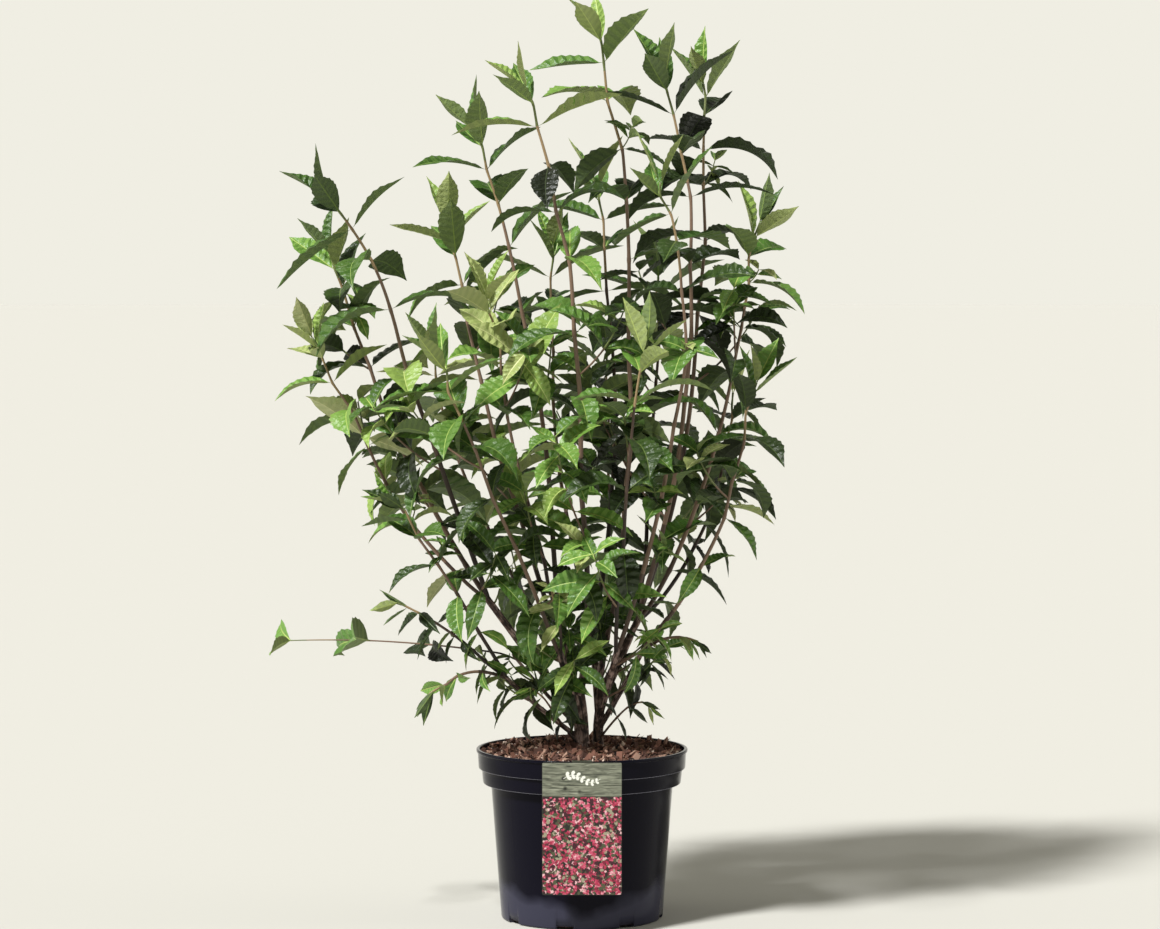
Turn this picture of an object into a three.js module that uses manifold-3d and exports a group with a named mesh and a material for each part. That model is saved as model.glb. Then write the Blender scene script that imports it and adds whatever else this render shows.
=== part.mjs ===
// A weigela shrub standing in a round nursery pot, with a picture label hooked over the pot's rim.
// Two short woody trunks rise from the soil. Boughs leave them and fork into canes, and each cane carries
// opposite pairs of pointed leaves, turned a quarter round from node to node, with short leafy side twigs
// lower down. Millimetres, +Z up, origin at the middle of the pot's flat underside, label on the -Y side.

import * as THREE from "three";
import { mergeVertices } from "three/addons/utils/BufferGeometryUtils.js";
import Module from "manifold-3d";

const wasm = await Module();
wasm.setup();

// ---------------------------------------------------------------- driving dimensions

const CLEARANCE = 0.3; // between pieces that rest on or join each other
const MERGE_DISTANCE = 1e-3; // points nearer than this are one point

const POT = {
  height: 225,
  lip: { radius: 140, height: 5, slope: 1 },
  upperBand: { top: 138, bottom: 137, height: 26 }, // radii of the stacking rim's upper band
  lowerBand: { top: 133, bottom: 131, height: 20 },
  bodyTopRadius: 120.5,
  baseRadius: 107,
  footChamfer: 3,
  wall: 2.5, // of the sides and the floor
  sides: 36,
};
// Drain slots in the foot, the first of them `turn` degrees from the middle of the front.
const DRAIN = { count: 8, width: 23, height: 6, depth: 12, turn: -12 };

const SOIL = { edgeZ: 216, moundZ: 222, moundRadius: 46 };

const LABEL = { width: 103, height: 172, thickness: 0.8, belowRim: 1 };
const HOOK = { width: 26, overlap: 12, drop: 7 }; // the tongue that hangs the label on the rim

// The trunks: a foot on the soil, a fork, and the radii at the flared foot, above the flare and at the fork.
const TRUNKS = {
  left: { foot: [0, -5], fork: [-5, -5, 296], radii: [17, 11, 9] },
  right: { foot: [21, 11], fork: [26, 12, 306], radii: [12, 7.5, 6.5] },
};
const FLARE_HEIGHT = 22;

// The boughs: the trunk they leave and how far up it, the point where they fork into canes, and their radii
// at both ends. "top" boughs start side by side on the end of their trunk.
const BOUGHS = {
  left_low: { trunk: "left", at: 0.18, fork: [-105, -60, 330], radii: [3.6, 3] },
  left_stray: { trunk: "left", at: 0.36, fork: [-90, -22, 350], radii: [2.8, 2.2] },
  left: { trunk: "left", at: 0.58, fork: [-130, -45, 435], radii: [6, 4.6] },
  front: { trunk: "left", at: 0.6, fork: [-30, -72, 360], radii: [4.6, 3.8] },
  back_left: { trunk: "left", at: 0.5, fork: [-35, 78, 360], radii: [5, 4] },
  centre: { trunk: "left", at: "top", fork: [8, -35, 375], radii: [5.4, 4.8] },
  centre_left: { trunk: "left", at: "top", fork: [-38, 32, 420], radii: [5.4, 4.6] },
  right_low: { trunk: "right", at: 0.3, fork: [82, -30, 362], radii: [4, 3.4] },
  front_right: { trunk: "right", at: 0.5, fork: [46, -72, 362], radii: [4.6, 4] },
  back: { trunk: "right", at: 0.48, fork: [14, 92, 385], radii: [5, 4.4] },
  back_right: { trunk: "right", at: 0.68, fork: [76, 72, 392], radii: [4.8, 4.2] },
  right: { trunk: "right", at: "top", fork: [78, 0, 402], radii: [5.2, 4.6] },
  centre_right: { trunk: "right", at: "top", fork: [34, 30, 372], radii: [4.8, 4.4] },
};
const BOUGH_LIFT = { side: -6, top: 4 }; // how far a bough's middle is pulled above its chord

// The canes: the bough whose fork they leave, or the trunk and how far up it, the waist they pass through and
// their tip. nod is how far the last stretch leans over along X, and thick scales the cane's radius.
const CANES = {
  left_high: { bough: "left", waist: [-214, -92, 700], tip: [-272, -112, 950], nod: -54 },
  left_mid: { bough: "left", waist: [-252, 12, 655], tip: [-324, 26, 880], nod: -10 },
  left_outer: { bough: "left", waist: [-262, -58, 590], tip: [-335, -66, 770], nod: -16, thick: 0.7 },
  left_low: { bough: "left_low", waist: [-168, -118, 450], tip: [-238, -150, 560], thick: 0.7 },
  left_spray: { bough: "left_low", waist: [-172, -92, 388], tip: [-238, -108, 428], thick: 0.6 },
  left_skirt: { bough: "left_low", waist: [-150, -96, 334], tip: [-202, -118, 306], thick: 0.6 },
  stray: { bough: "left_stray", waist: [-240, -30, 368], tip: [-415, -45, 372], thick: 0.55, sparse: true },
  centre_left: { bough: "centre_left", waist: [-66, 30, 730], tip: [-130, 24, 1040], nod: -10 },
  pale: { bough: "centre_left", waist: [-82, -26, 600], tip: [-124, -58, 830], thick: 0.75 },
  centre: { bough: "centre", waist: [-2, -108, 700], tip: [-42, -132, 1090], nod: -30, thick: 1.2 },
  crown: { bough: "centre_right", waist: [66, 14, 715], tip: [36, -8, 1172], nod: -16, thick: 1.1 },
  right_top: { bough: "right", waist: [140, -14, 715], tip: [136, 2, 1110], nod: -28 },
  right_outer: { bough: "right", waist: [184, 24, 650], tip: [206, 34, 920], nod: 30, thick: 0.9 },
  right_low: { bough: "right_low", waist: [172, -72, 505], tip: [226, -90, 712], thick: 0.8 },
  right_skirt: { bough: "right_low", waist: [118, -48, 376], tip: [152, -58, 372], thick: 0.6 },
  front_left: { bough: "front", waist: [-118, -170, 585], tip: [-182, -200, 745], thick: 0.8 },
  front_tuft: { bough: "front", waist: [-30, -112, 400], tip: [-40, -140, 450], thick: 0.55 },
  back: { bough: "back", waist: [44, 148, 640], tip: [22, 168, 970] },
  back_mid: { bough: "back", waist: [-34, 188, 630], tip: [-40, 200, 890], thick: 0.9 },
  back_low: { bough: "back", waist: [38, 212, 560], tip: [32, 232, 755], thick: 0.8 },
  back_left: { bough: "back_left", waist: [-122, 106, 655], tip: [-182, 130, 920] },
  back_left_low: { bough: "back_left", waist: [-144, 166, 540], tip: [-206, 186, 750], thick: 0.8 },
  front_right: { bough: "front_right", waist: [125, -128, 690], tip: [112, -148, 970], nod: -12, thick: 0.9 },
  front: { bough: "front_right", waist: [58, -190, 590], tip: [82, -204, 768], thick: 0.8 },
  right_back: { bough: "back_right", waist: [150, 90, 690], tip: [154, 84, 1105], nod: 8 },
  back_right: { bough: "back_right", waist: [98, 170, 620], tip: [104, 196, 865], thick: 0.9 },
  back_right_low: { bough: "back_right", waist: [168, 150, 515], tip: [206, 170, 690], thick: 0.8 },
  sprout_right: { trunk: "right", at: 0.12, waist: [62, -22, 282], tip: [88, -30, 284], thick: 0.4 },
  sprout_left: { trunk: "left", at: 0.02, waist: [-46, -46, 290], tip: [-68, -66, 312], thick: 0.4 },
};
// Canes and twigs are three-sided, so their corners stand out further than a round shoot's skin.
const CANE = {
  forkRadius: 4.4,
  tipRadius: 1.7,
  longest: 700,
  steps: [3, 6], // straight stretches along the shortest cane and along the longest
  bareFoot: 32, // the stretch at a cane's foot that bears no leaves
  twiggyFrom: 200, // the length from which a cane has side twigs
};
const NOD_SHARE = 0.34; // the share of a cane, at its end, that nods
const SPARSE = { internode: 96, leafScale: 0.7 }; // a sparse cane has few, small leaves and no twigs

// The leaves, sized for their distance from the cane's tip.
const LEAF = {
  length: 110,
  youngest: 68, // length of the pair at the tip
  grownBy: 110, // distance from the tip where leaves are full size
  widthRatio: 0.5,
  widestAt: 0.42, // share of the length
  thicknessRatio: 0.014,
  fold: 0.16, // how far the edges stand above the midrib, as a share of the width
  rootDepth: 0.25, // how far from the shoot's axis the leaf starts, as a share of the shoot's radius
  rootZone: 14, // the stretch at the root that may lie in the shoot
};
// How far a leaf spreads from its shoot and how far its length bends down, in degrees, at the tip and on old
// wood, and the distance from the tip by which the second is reached.
const SPREAD = { young: 24, old: 84, by: 190 };
const ARCH = { young: 10, old: 62, by: 160 };
const LIGHT = { upwards: 0.7, outwards: 0.8 }; // how strongly a leaf's face turns up and out
const INTERNODE = 62; // between grown pairs of leaves
const INTERNODE_YOUNGEST = 0.42; // the share of it between the pairs at the tip
const INTERNODE_GROWTH = 1.4; // how much longer each is than the one above it, up to INTERNODE
// How a leaf is tried: turned round the shoot by this angle, and at this share of its size.
const LEAF_TRIES = [[0, 1], [0.5, 1], [-0.5, 1], [0, 0.75], [0.9, 0.75], [-0.9, 0.75]];

const TWIG = {
  everyNode: 3,
  fromTip: 140, // the stretch below a cane's tip that bears none
  shortest: 75,
  longest: 135,
  radius: 1.9,
  tipRadius: 1.4,
  steps: 2,
  leafScale: 0.76,
  internode: 52,
  bareFoot: 36,
};
const TWIG_SHARES = [1, 0.75, 0.55]; // the lengths that a twig is tried at
const TWIG_HEADINGS = 6; // and the directions round the cane

const SEED = 12; // the first cane's seed, and the step to the next cane's
const SEED_STEP = 17;
const CELL_MARGIN = { leaf: 2, twig: 8 }; // how far foliage stays inside its own cane's space
const RIM_GAP = 6; // from the pot's rim up to the lowest leaf
const LIMB_GAP = 2.5; // from a bare limb's skin to a leaf
const SHARED_ROOT = 0.6; // cubic millimetres that the roots of two leaves may share
const LINE_STEPS = 16; // stretches of the line that stands for a cane when distances are measured

// ---------------------------------------------------------------- small helpers

const UP = new THREE.Vector3(0, 0, 1);
const vec = (p) => new THREE.Vector3(...p);
const mix = (a, b, t) => a + (b - a) * t;
const smooth = (x) => THREE.MathUtils.smoothstep(x, 0, 1);

// A repeatable run of numbers from 0 to 1 for each seed, by a linear congruential generator.
function seeded(seed) {
  let state = Math.imul(seed + 1, 2654435761) >>> 0;
  return () => {
    state = (Math.imul(state, 1664525) + 1013904223) >>> 0;
    return state / 2 ** 32;
  };
}

// A three.js geometry as a closed solid.
function solidOf(geometry) {
  const bare = geometry.index ? geometry.toNonIndexed() : geometry.clone();
  bare.deleteAttribute("normal");
  bare.deleteAttribute("uv");
  const merged = mergeVertices(bare, MERGE_DISTANCE);
  const mesh = new wasm.Mesh({
    numProp: 3,
    vertProperties: merged.attributes.position.array,
    triVerts: new Uint32Array(merged.index.array),
  });
  return new wasm.Manifold(mesh);
}

// A solid as a three.js geometry.
function geometryOf(solid) {
  const { numProp, numVert, vertProperties, triVerts } = solid.getMesh();
  const positions = new Float32Array(numVert * 3);
  for (let i = 0; i < numVert; i++) {
    positions.set(vertProperties.subarray(i * numProp, i * numProp + 3), i * 3);
  }
  return new THREE.BufferGeometry()
    .setAttribute("position", new THREE.BufferAttribute(positions, 3))
    .setIndex(new THREE.BufferAttribute(triVerts, 1));
}

// The biggest of a solid's separate bodies, as a geometry. A scrap can hang on by a contact that is lost when
// the points are rounded, so the bodies are told apart again after that.
function biggestOf(solid) {
  const bigger = (best, body) => (body.volume() > best.volume() ? body : best);
  const rounded = solidOf(geometryOf(solid.decompose().reduce(bigger)));
  return geometryOf(rounded.decompose().reduce(bigger));
}

// Moves each point of a geometry by a function of its place.
function warp(geometry, movedTo) {
  const positions = geometry.attributes.position;
  for (let i = 0; i < positions.count; i++) {
    const p = movedTo(positions.getX(i), positions.getY(i), positions.getZ(i));
    positions.setXYZ(i, p.x, p.y, p.z);
  }
  return geometry;
}

// A tapering round limb along a curve: a closed cylinder bent onto it, with radius(t) from foot to end.
// swell makes it larger all round by that much, ends included.
function limb(curve, radius, sides, steps, swell = 0) {
  const frames = curve.computeFrenetFrames(steps, false);
  const centres = Array.from({ length: steps + 1 }, (_, i) => curve.getPointAt(i / steps));
  centres[0].addScaledVector(curve.getTangentAt(0), -swell);
  centres[steps].addScaledVector(curve.getTangentAt(1), swell);
  return warp(new THREE.CylinderGeometry(1, 1, 1, sides, steps), (x, y, z) => {
    const i = Math.round((y + 0.5) * steps);
    const r = radius(i / steps) + swell / Math.cos(Math.PI / sides);
    return centres[i]
      .clone()
      .addScaledVector(frames.normals[i], z * r)
      .addScaledVector(frames.binormals[i], x * r);
  });
}

// The smooth curve from a to b whose middle passes through waist, leaning over by nod along X at its end.
class CaneCurve extends THREE.Curve {
  constructor(a, waist, b, nod) {
    super();
    const pull = waist.clone().multiplyScalar(2).addScaledVector(a, -0.5).addScaledVector(b, -0.5);
    this.bow = new THREE.QuadraticBezierCurve3(a, pull, b);
    this.nod = nod;
  }
  getPoint(t, target = new THREE.Vector3()) {
    this.bow.getPoint(t, target);
    target.x += this.nod * Math.max(0, (t - 1 + NOD_SHARE) / NOD_SHARE) ** 2;
    return target;
  }
}

// How near a point comes to a line of points.
function distanceTo(point, line) {
  const nearest = new THREE.Vector3();
  const stretch = new THREE.Line3();
  let least = Infinity;
  for (let i = 0; i + 1 < line.length; i++) {
    stretch.set(line[i], line[i + 1]);
    stretch.closestPointToPoint(point, true, nearest);
    least = Math.min(least, nearest.distanceTo(point));
  }
  return least;
}

// ---------------------------------------------------------------- materials

const paint = (color, roughness) => new THREE.MeshStandardMaterial({ color, roughness, metalness: 0 });
const MATERIAL = {
  pot: paint(0x17171b, 0.28),
  soil: paint(0x4a2f22, 0.95),
  label: paint(0xa5485f, 0.35),
  trunk: paint(0x4b3a33, 0.85),
  bough: paint(0x6b4a38, 0.75),
  foliage: paint(0x35592a, 0.5),
};

const shrub = new THREE.Group();

function place(name, geometry, material) {
  const mesh = new THREE.Mesh(geometry, material);
  mesh.name = name;
  shrub.add(mesh);
}

// ---------------------------------------------------------------- pot, soil and label

// The pot's wall from its foot to its rim, as [radius, height]: the sloping body and the two bands, which
// stand out from it in steps.
const lowerBandTop = POT.height - POT.upperBand.height;
const bodyTop = lowerBandTop - POT.lowerBand.height;
const potWall = [
  [POT.bodyTopRadius, bodyTop],
  [POT.lowerBand.bottom, bodyTop],
  [POT.lowerBand.top, lowerBandTop],
  [POT.upperBand.bottom, lowerBandTop],
];

// The same wall seen from inside: further in and further up, down to the floor.
const insetWall = (by) => [[POT.baseRadius, 0], ...potWall].map(([r, z]) => [r - by, z + by]);

// Turns a profile of [radius, height] points, from axis to axis, round the upright axis.
function turned(profile) {
  const points = profile.map(([r, z]) => new THREE.Vector2(r, z));
  return new THREE.LatheGeometry(points, POT.sides).rotateX(Math.PI / 2);
}

function makePot() {
  const lipFoot = POT.height - POT.lip.height;
  const outside = [
    [0, 0],
    [POT.baseRadius - POT.footChamfer, 0],
    [POT.baseRadius, POT.footChamfer],
    ...potWall,
    [POT.upperBand.top, lipFoot],
    [POT.lip.radius, lipFoot + POT.lip.slope],
    [POT.lip.radius, POT.height],
  ];
  const inside = [...insetWall(POT.wall), [POT.upperBand.top - POT.wall, POT.height]].reverse();
  const shell = solidOf(turned([...outside, ...inside, [0, POT.wall]]));
  const slots = Array.from({ length: DRAIN.count }, (_, i) => {
    const turn = THREE.MathUtils.degToRad(DRAIN.turn) + (i * 2 * Math.PI) / DRAIN.count;
    const slot = new THREE.BoxGeometry(DRAIN.width, 2 * DRAIN.depth, 2 * DRAIN.height);
    return solidOf(slot.translate(0, -POT.baseRadius, 0).rotateZ(turn));
  });
  place("pot", geometryOf(slots.reduce((pot, slot) => pot.subtract(slot), shell)), MATERIAL.pot);
}

// The potting mix fills the pot, CLEARANCE inside its wall, and mounds gently round the trunks.
function makeSoil() {
  const side = insetWall(POT.wall + CLEARANCE);
  const [edgeRadius] = side.at(-1);
  const profile = [
    [0, side[0][1]],
    ...side,
    [edgeRadius, SOIL.edgeZ],
    [2 * SOIL.moundRadius, (SOIL.edgeZ + SOIL.moundZ) / 2],
    [SOIL.moundRadius, SOIL.moundZ],
    [0, SOIL.moundZ],
  ];
  place("soil", turned(profile), MATERIAL.soil);
}

// A card hanging against the rim, with a tongue that passes over the lip and down inside it.
function makeLabel() {
  const t = LABEL.thickness;
  const front = -POT.lip.radius - CLEARANCE;
  const card = new THREE.BoxGeometry(LABEL.width, t, LABEL.height);
  card.translate(0, front - t / 2, POT.height - LABEL.belowRim - LABEL.height / 2);
  // The flats of the pot's inner wall come nearer to the axis than its corners, and meet the tongue's edges.
  const flat = (POT.upperBand.bottom - POT.wall) * Math.cos(Math.PI / POT.sides);
  const inside = CLEARANCE - Math.sqrt(flat ** 2 - (HOOK.width / 2) ** 2);
  const top = POT.height + CLEARANCE;
  const section = [
    [front, POT.height - HOOK.overlap],
    [front - t, POT.height - HOOK.overlap],
    [front - t, top + t],
    [inside + t, top + t],
    [inside + t, top - HOOK.drop],
    [inside, top - HOOK.drop],
    [inside, top],
    [front, top],
  ];
  const outline = new THREE.Shape(section.map(([y, z]) => new THREE.Vector2(y, z)));
  const tongue = new THREE.ExtrudeGeometry(outline, { depth: HOOK.width, bevelEnabled: false });
  // The outline's first axis becomes Y, its second Z, and its depth X.
  const axes = [new THREE.Vector3(0, 1, 0), UP, new THREE.Vector3(1, 0, 0)];
  tongue.applyMatrix4(new THREE.Matrix4().makeBasis(...axes)).translate(-HOOK.width / 2, 0, 0);
  place("label", geometryOf(solidOf(card).add(solidOf(tongue))), MATERIAL.label);
}

// ---------------------------------------------------------------- trunks and boughs

const TRUNK_FACETS = { sides: 10, steps: 10 };
const BOUGH_FACETS = { sides: 6, steps: 6 };
const NEARBY = 30; // limbs whose boxes, grown by this, stay apart can't touch

const trunks = {};
const boughs = {};
const limbs = []; // every bare limb: its curve and radius, its line of points, its box and its swollen solid

const boxRound = (curve) => new THREE.Box3().setFromPoints(curve.getSpacedPoints(8)).expandByScalar(NEARBY);

// The bare limbs near a curve are cut away from a solid, with CLEARANCE all round them.
function cutClear(solid, curve) {
  const near = limbs.filter((bare) => bare.box.intersectsBox(boxRound(curve)));
  return near.reduce((body, bare) => body.subtract(bare.swollen), solid);
}

function addLimb(name, curve, radius, { sides, steps }, material) {
  place(name, biggestOf(cutClear(solidOf(limb(curve, radius, sides, steps)), curve)), material);
  const swollen = solidOf(limb(curve, radius, sides, steps, CLEARANCE));
  limbs.push({ curve, radius, line: curve.getSpacedPoints(steps), box: boxRound(curve), swollen });
}

// Each trunk stands upright on the soil and then leans to its fork. Its foot flares out.
function makeTrunk([name, { foot, fork, radii }]) {
  const start = new THREE.Vector3(...foot, SOIL.moundZ + CLEARANCE);
  const end = vec(fork);
  const height = end.z - start.z;
  const curve = new THREE.QuadraticBezierCurve3(start, start.clone().addScaledVector(UP, height / 2), end);
  const [flared, low, high] = radii;
  const flare = (t) => (flared - low) * Math.max(0, 1 - (t * height) / FLARE_HEIGHT) ** 2;
  const radius = (t) => mix(low, high, t) + flare(t);
  trunks[name] = { curve, radius };
  addLimb(`trunk_${name}`, curve, radius, TRUNK_FACETS, MATERIAL.trunk);
}

// Where the limbs that share a fork start: side by side round the parent's end, evenly spaced, each on the
// side that it leans to when seen from the middle of their targets. A single limb starts on the axis.
function forkStarts(parent, targets, radius) {
  const along = parent.curve.getTangentAt(1);
  const seat = parent.curve.getPointAt(1).addScaledVector(along, CLEARANCE);
  const count = targets.length;
  if (count === 1) return [seat];
  const across = new THREE.Vector3(1, 0, 0).cross(along).normalize();
  const facing = across.clone().cross(along);
  const middle = targets.reduce((sum, p) => sum.add(p), new THREE.Vector3()).divideScalar(count);
  const offsets = targets.map((p) => p.clone().sub(middle));
  const angles = offsets.map((offset) => Math.atan2(offset.dot(facing), offset.dot(across)));
  const order = [...angles.keys()].sort((i, j) => angles[i] - angles[j]);
  const step = (2 * Math.PI) / count;
  const first = order.reduce((sum, i, k) => sum + angles[i] - k * step, 0) / count;
  const distance = (radius + CLEARANCE) / Math.sin(Math.PI / count);
  return targets.map((_, i) => {
    const angle = first + order.indexOf(i) * step;
    const side = across.clone().multiplyScalar(Math.cos(angle)).addScaledVector(facing, Math.sin(angle));
    return seat.clone().addScaledVector(side, distance);
  });
}

// Each bough leaves its trunk's axis, cut clear of the trunk, or starts on the trunk's end.
function makeBough([name, { trunk, at, fork, radii }]) {
  const parent = trunks[trunk];
  const onTop = at === "top";
  const twins = Object.values(BOUGHS).filter((other) => other.trunk === trunk && other.at === "top");
  const starts = forkStarts(parent, twins.map((other) => vec(other.fork)), radii[0]);
  const start = onTop ? starts[twins.indexOf(BOUGHS[name])] : parent.curve.getPoint(at);
  const end = vec(fork);
  const pull = start.clone().lerp(end, 0.5).addScaledVector(UP, onTop ? BOUGH_LIFT.top : BOUGH_LIFT.side);
  const curve = new THREE.QuadraticBezierCurve3(start, pull, end);
  const radius = (t) => mix(...radii, t);
  boughs[name] = { curve, radius };
  addLimb(`bough_${name}`, curve, radius, BOUGH_FACETS, MATERIAL.bough);
}

// ---------------------------------------------------------------- canes and foliage

const canes = Object.entries(CANES).map(([name, row], i) => {
  const kept = row.sparse ? SPARSE : { internode: INTERNODE, leafScale: 1 };
  return { name, thick: 1, nod: 0, ...kept, ...row, seed: SEED + i * SEED_STEP };
});

function layOut(cane) {
  const own = CANE.forkRadius * cane.thick;
  const twins = canes.filter((other) => other.bough && other.bough === cane.bough);
  const widest = Math.max(...twins.map((other) => CANE.forkRadius * other.thick));
  const start = cane.bough
    ? forkStarts(boughs[cane.bough], twins.map((other) => vec(other.waist)), widest)[twins.indexOf(cane)]
    : trunks[cane.trunk].curve.getPoint(cane.at);
  cane.curve = new CaneCurve(start, vec(cane.waist), vec(cane.tip), cane.nod);
  cane.line = cane.curve.getSpacedPoints(LINE_STEPS);
  cane.length = cane.curve.getLength();
  cane.radius = (t) => mix(own, CANE.tipRadius, t);
  cane.steps = Math.round(mix(...CANE.steps, cane.length / CANE.longest));
}

// True if a point is inside this cane's own space: nearer to it than to any other cane by `margin`, above the
// pot and clear of every bare limb.
function isOwn(point, cane, margin) {
  if (point.z < POT.height + RIM_GAP) return false;
  const mine = distanceTo(point, cane.line);
  if (canes.some((other) => other !== cane && distanceTo(point, other.line) < mine + margin)) return false;
  return limbs.every((bare) => distanceTo(point, bare.line) > bare.radius(0) + LIMB_GAP);
}

// The nodes of a shoot, as distances back from its tip. Internodes lengthen away from the tip.
function nodesOf(length, internode, bareFoot) {
  const nodes = [];
  let step = internode * INTERNODE_YOUNGEST;
  for (let back = 0; back < length - bareFoot; back += step) {
    if (nodes.length > 1) step = Math.min(internode, step * INTERNODE_GROWTH);
    nodes.push(back);
  }
  return nodes;
}

// What changes along a shoot, for a distance back from its tip.
const sizeAt = (back) => mix(LEAF.youngest, LEAF.length, smooth(back / LEAF.grownBy));
const angleAt = ({ young, old, by }, back) => THREE.MathUtils.degToRad(mix(young, old, smooth(back / by)));

// Directions of a leaf that leaves its seat on a shoot: along the leaf, up from its face and across it.
// The face turns to the light: from the side of the shoot it leans upwards and away from the plant's middle.
function leafFrame({ root, along }, out, spread) {
  const forward = along.clone().multiplyScalar(Math.cos(spread)).addScaledVector(out, Math.sin(spread));
  const face = along.clone().multiplyScalar(Math.sin(spread)).addScaledVector(out, -Math.cos(spread));
  face.add(new THREE.Vector3(root.x, root.y, 0).setLength(LIGHT.outwards)).addScaledVector(UP, LIGHT.upwards);
  face.addScaledVector(forward, -face.dot(forward)).normalize();
  return { forward, face, side: forward.clone().cross(face) };
}

// A leaf of eight faces: an octahedron laid along an arc that turns down by `arch`, folded up at its midrib.
function leafGeometry(root, frame, length, arch) {
  const width = LEAF.widthRatio * length;
  const halfThickness = (LEAF.thicknessRatio * length) / 2;
  return warp(new THREE.OctahedronGeometry(1), (x, y, z) => {
    const s = Math.abs(y) > 0.5 ? (y + 1) / 2 : LEAF.widestAt;
    const ahead = (length * Math.sin(arch * s)) / arch;
    const down = (length * (1 - Math.cos(arch * s))) / arch;
    return root
      .clone()
      .addScaledVector(frame.forward, ahead)
      .addScaledVector(frame.face, Math.abs(x) * LEAF.fold * width + z * halfThickness - down)
      .addScaledVector(frame.side, (x * width) / 2);
  });
}

// Every stem, twig and leaf that is kept, with its box and the cane that it belongs to.
const grown = [];
function keep(cane, geometry, kind) {
  geometry.computeBoundingBox();
  grown.push({ cane, kind, box: geometry.boundingBox, solid: solidOf(geometry) });
}

// True if a geometry would pass through another cane's foliage, or its own cane's pieces of these kinds.
function crosses(cane, geometry, kinds) {
  geometry.computeBoundingBox();
  const solid = solidOf(geometry);
  return grown.some((piece) => {
    const tested = piece.cane !== cane || kinds.includes(piece.kind);
    if (!tested || !piece.box.intersectsBox(geometry.boundingBox)) return false;
    return solid.intersect(piece.solid).volume() > (piece.cane === cane ? SHARED_ROOT : 0);
  });
}

// True if a leaf stays in its cane's own space. The corners, edges and middle of each face are tried.
function leafFits(cane, blade, root) {
  const positions = blade.attributes.position;
  for (let i = 0; i < positions.count; i += 3) {
    const [a, b, c] = [0, 1, 2].map((k) => new THREE.Vector3().fromBufferAttribute(positions, i + k));
    const middle = a.clone().add(b).add(c).divideScalar(3);
    const edges = [[a, b], [b, c], [c, a]].map(([p, q]) => p.clone().lerp(q, 0.5));
    const points = [a, b, c, middle, ...edges];
    const outside = (p) => p.distanceTo(root) > LEAF.rootZone && !isOwn(p, cane, CELL_MARGIN.leaf);
    if (points.some(outside)) return false;
  }
  return true;
}

// Adds a leaf at its seat if it fits, turned a little or smaller where it must be.
function addLeaf(cane, seat, out, size, spread, arch) {
  for (const [swing, share] of LEAF_TRIES) {
    const frame = leafFrame(seat, out.clone().applyAxisAngle(seat.along, swing), spread);
    const root = seat.root.clone().addScaledVector(frame.forward, LEAF.rootDepth * seat.radius);
    const blade = leafGeometry(root, frame, size * share, arch);
    if (leafFits(cane, blade, root) && !crosses(cane, blade, ["leaf"])) return keep(cane, blade, "leaf");
  }
}

// The point of a shoot's axis at t, on the straight stretches between its rings.
function axisPoint({ curve, steps }, t) {
  const ring = Math.min(Math.floor(t * steps), steps - 1);
  return curve.getPointAt(ring / steps).lerp(curve.getPointAt((ring + 1) / steps), t * steps - ring);
}

// Adds the leaves of one shoot: a pair at each node, a quarter turn from the pair before.
function leafUp(cane, shoot, random) {
  const length = shoot.curve.getLength();
  let turn = random() * Math.PI;
  for (const back of nodesOf(length, shoot.internode, shoot.bareFoot)) {
    const t = 1 - back / length;
    const along = shoot.curve.getTangentAt(t);
    const seat = { root: axisPoint(shoot, t), along, radius: shoot.radius(t) };
    const across = new THREE.Vector3(Math.cos(turn), Math.sin(turn), 0).projectOnPlane(along).normalize();
    for (const sign of [1, -1]) {
      const size = sizeAt(back) * shoot.leafScale * mix(0.85, 1.12, random());
      const spread = angleAt(SPREAD, back) * mix(0.85, 1.1, random());
      const arch = angleAt(ARCH, back) * mix(0.8, 1.2, random());
      const out = across.clone().multiplyScalar(sign).applyAxisAngle(along, mix(-0.35, 0.35, random()));
      addLeaf(cane, seat, out, size, spread, arch);
    }
    turn += Math.PI / 2 + mix(-0.3, 0.3, random());
  }
}

// A side twig that leaves the cane at t towards a compass heading and turns up.
function twigCurve(cane, t, heading, length) {
  const root = axisPoint(cane, t);
  const out = new THREE.Vector3(Math.cos(heading), Math.sin(heading), 0);
  const bend = root.clone().addScaledVector(out, 0.45 * length);
  bend.addScaledVector(cane.curve.getTangentAt(t), 0.3 * length);
  const end = bend.clone().addScaledVector(out, 0.2 * length).addScaledVector(UP, 0.4 * length);
  return new THREE.QuadraticBezierCurve3(root, bend, end);
}

// Adds a leafy side twig if one fits, looking round the cane and then for a shorter one.
function addTwig(cane, t, turn, reach, random) {
  const radius = (u) => mix(TWIG.radius, TWIG.tipRadius, u);
  for (const share of TWIG_SHARES) {
    for (let i = 0; i < TWIG_HEADINGS; i++) {
      const curve = twigCurve(cane, t, turn + (i * 2 * Math.PI) / TWIG_HEADINGS, reach * share);
      const inside = curve.getSpacedPoints(4).slice(1).every((p) => isOwn(p, cane, CELL_MARGIN.twig));
      const twig = limb(curve, radius, 3, TWIG.steps);
      if (!inside || crosses(cane, twig, ["leaf", "twig"])) continue;
      keep(cane, twig, "twig");
      leafUp(cane, { ...TWIG, curve, radius, leafScale: TWIG.leafScale * cane.leafScale }, random);
      return;
    }
  }
}

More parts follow.
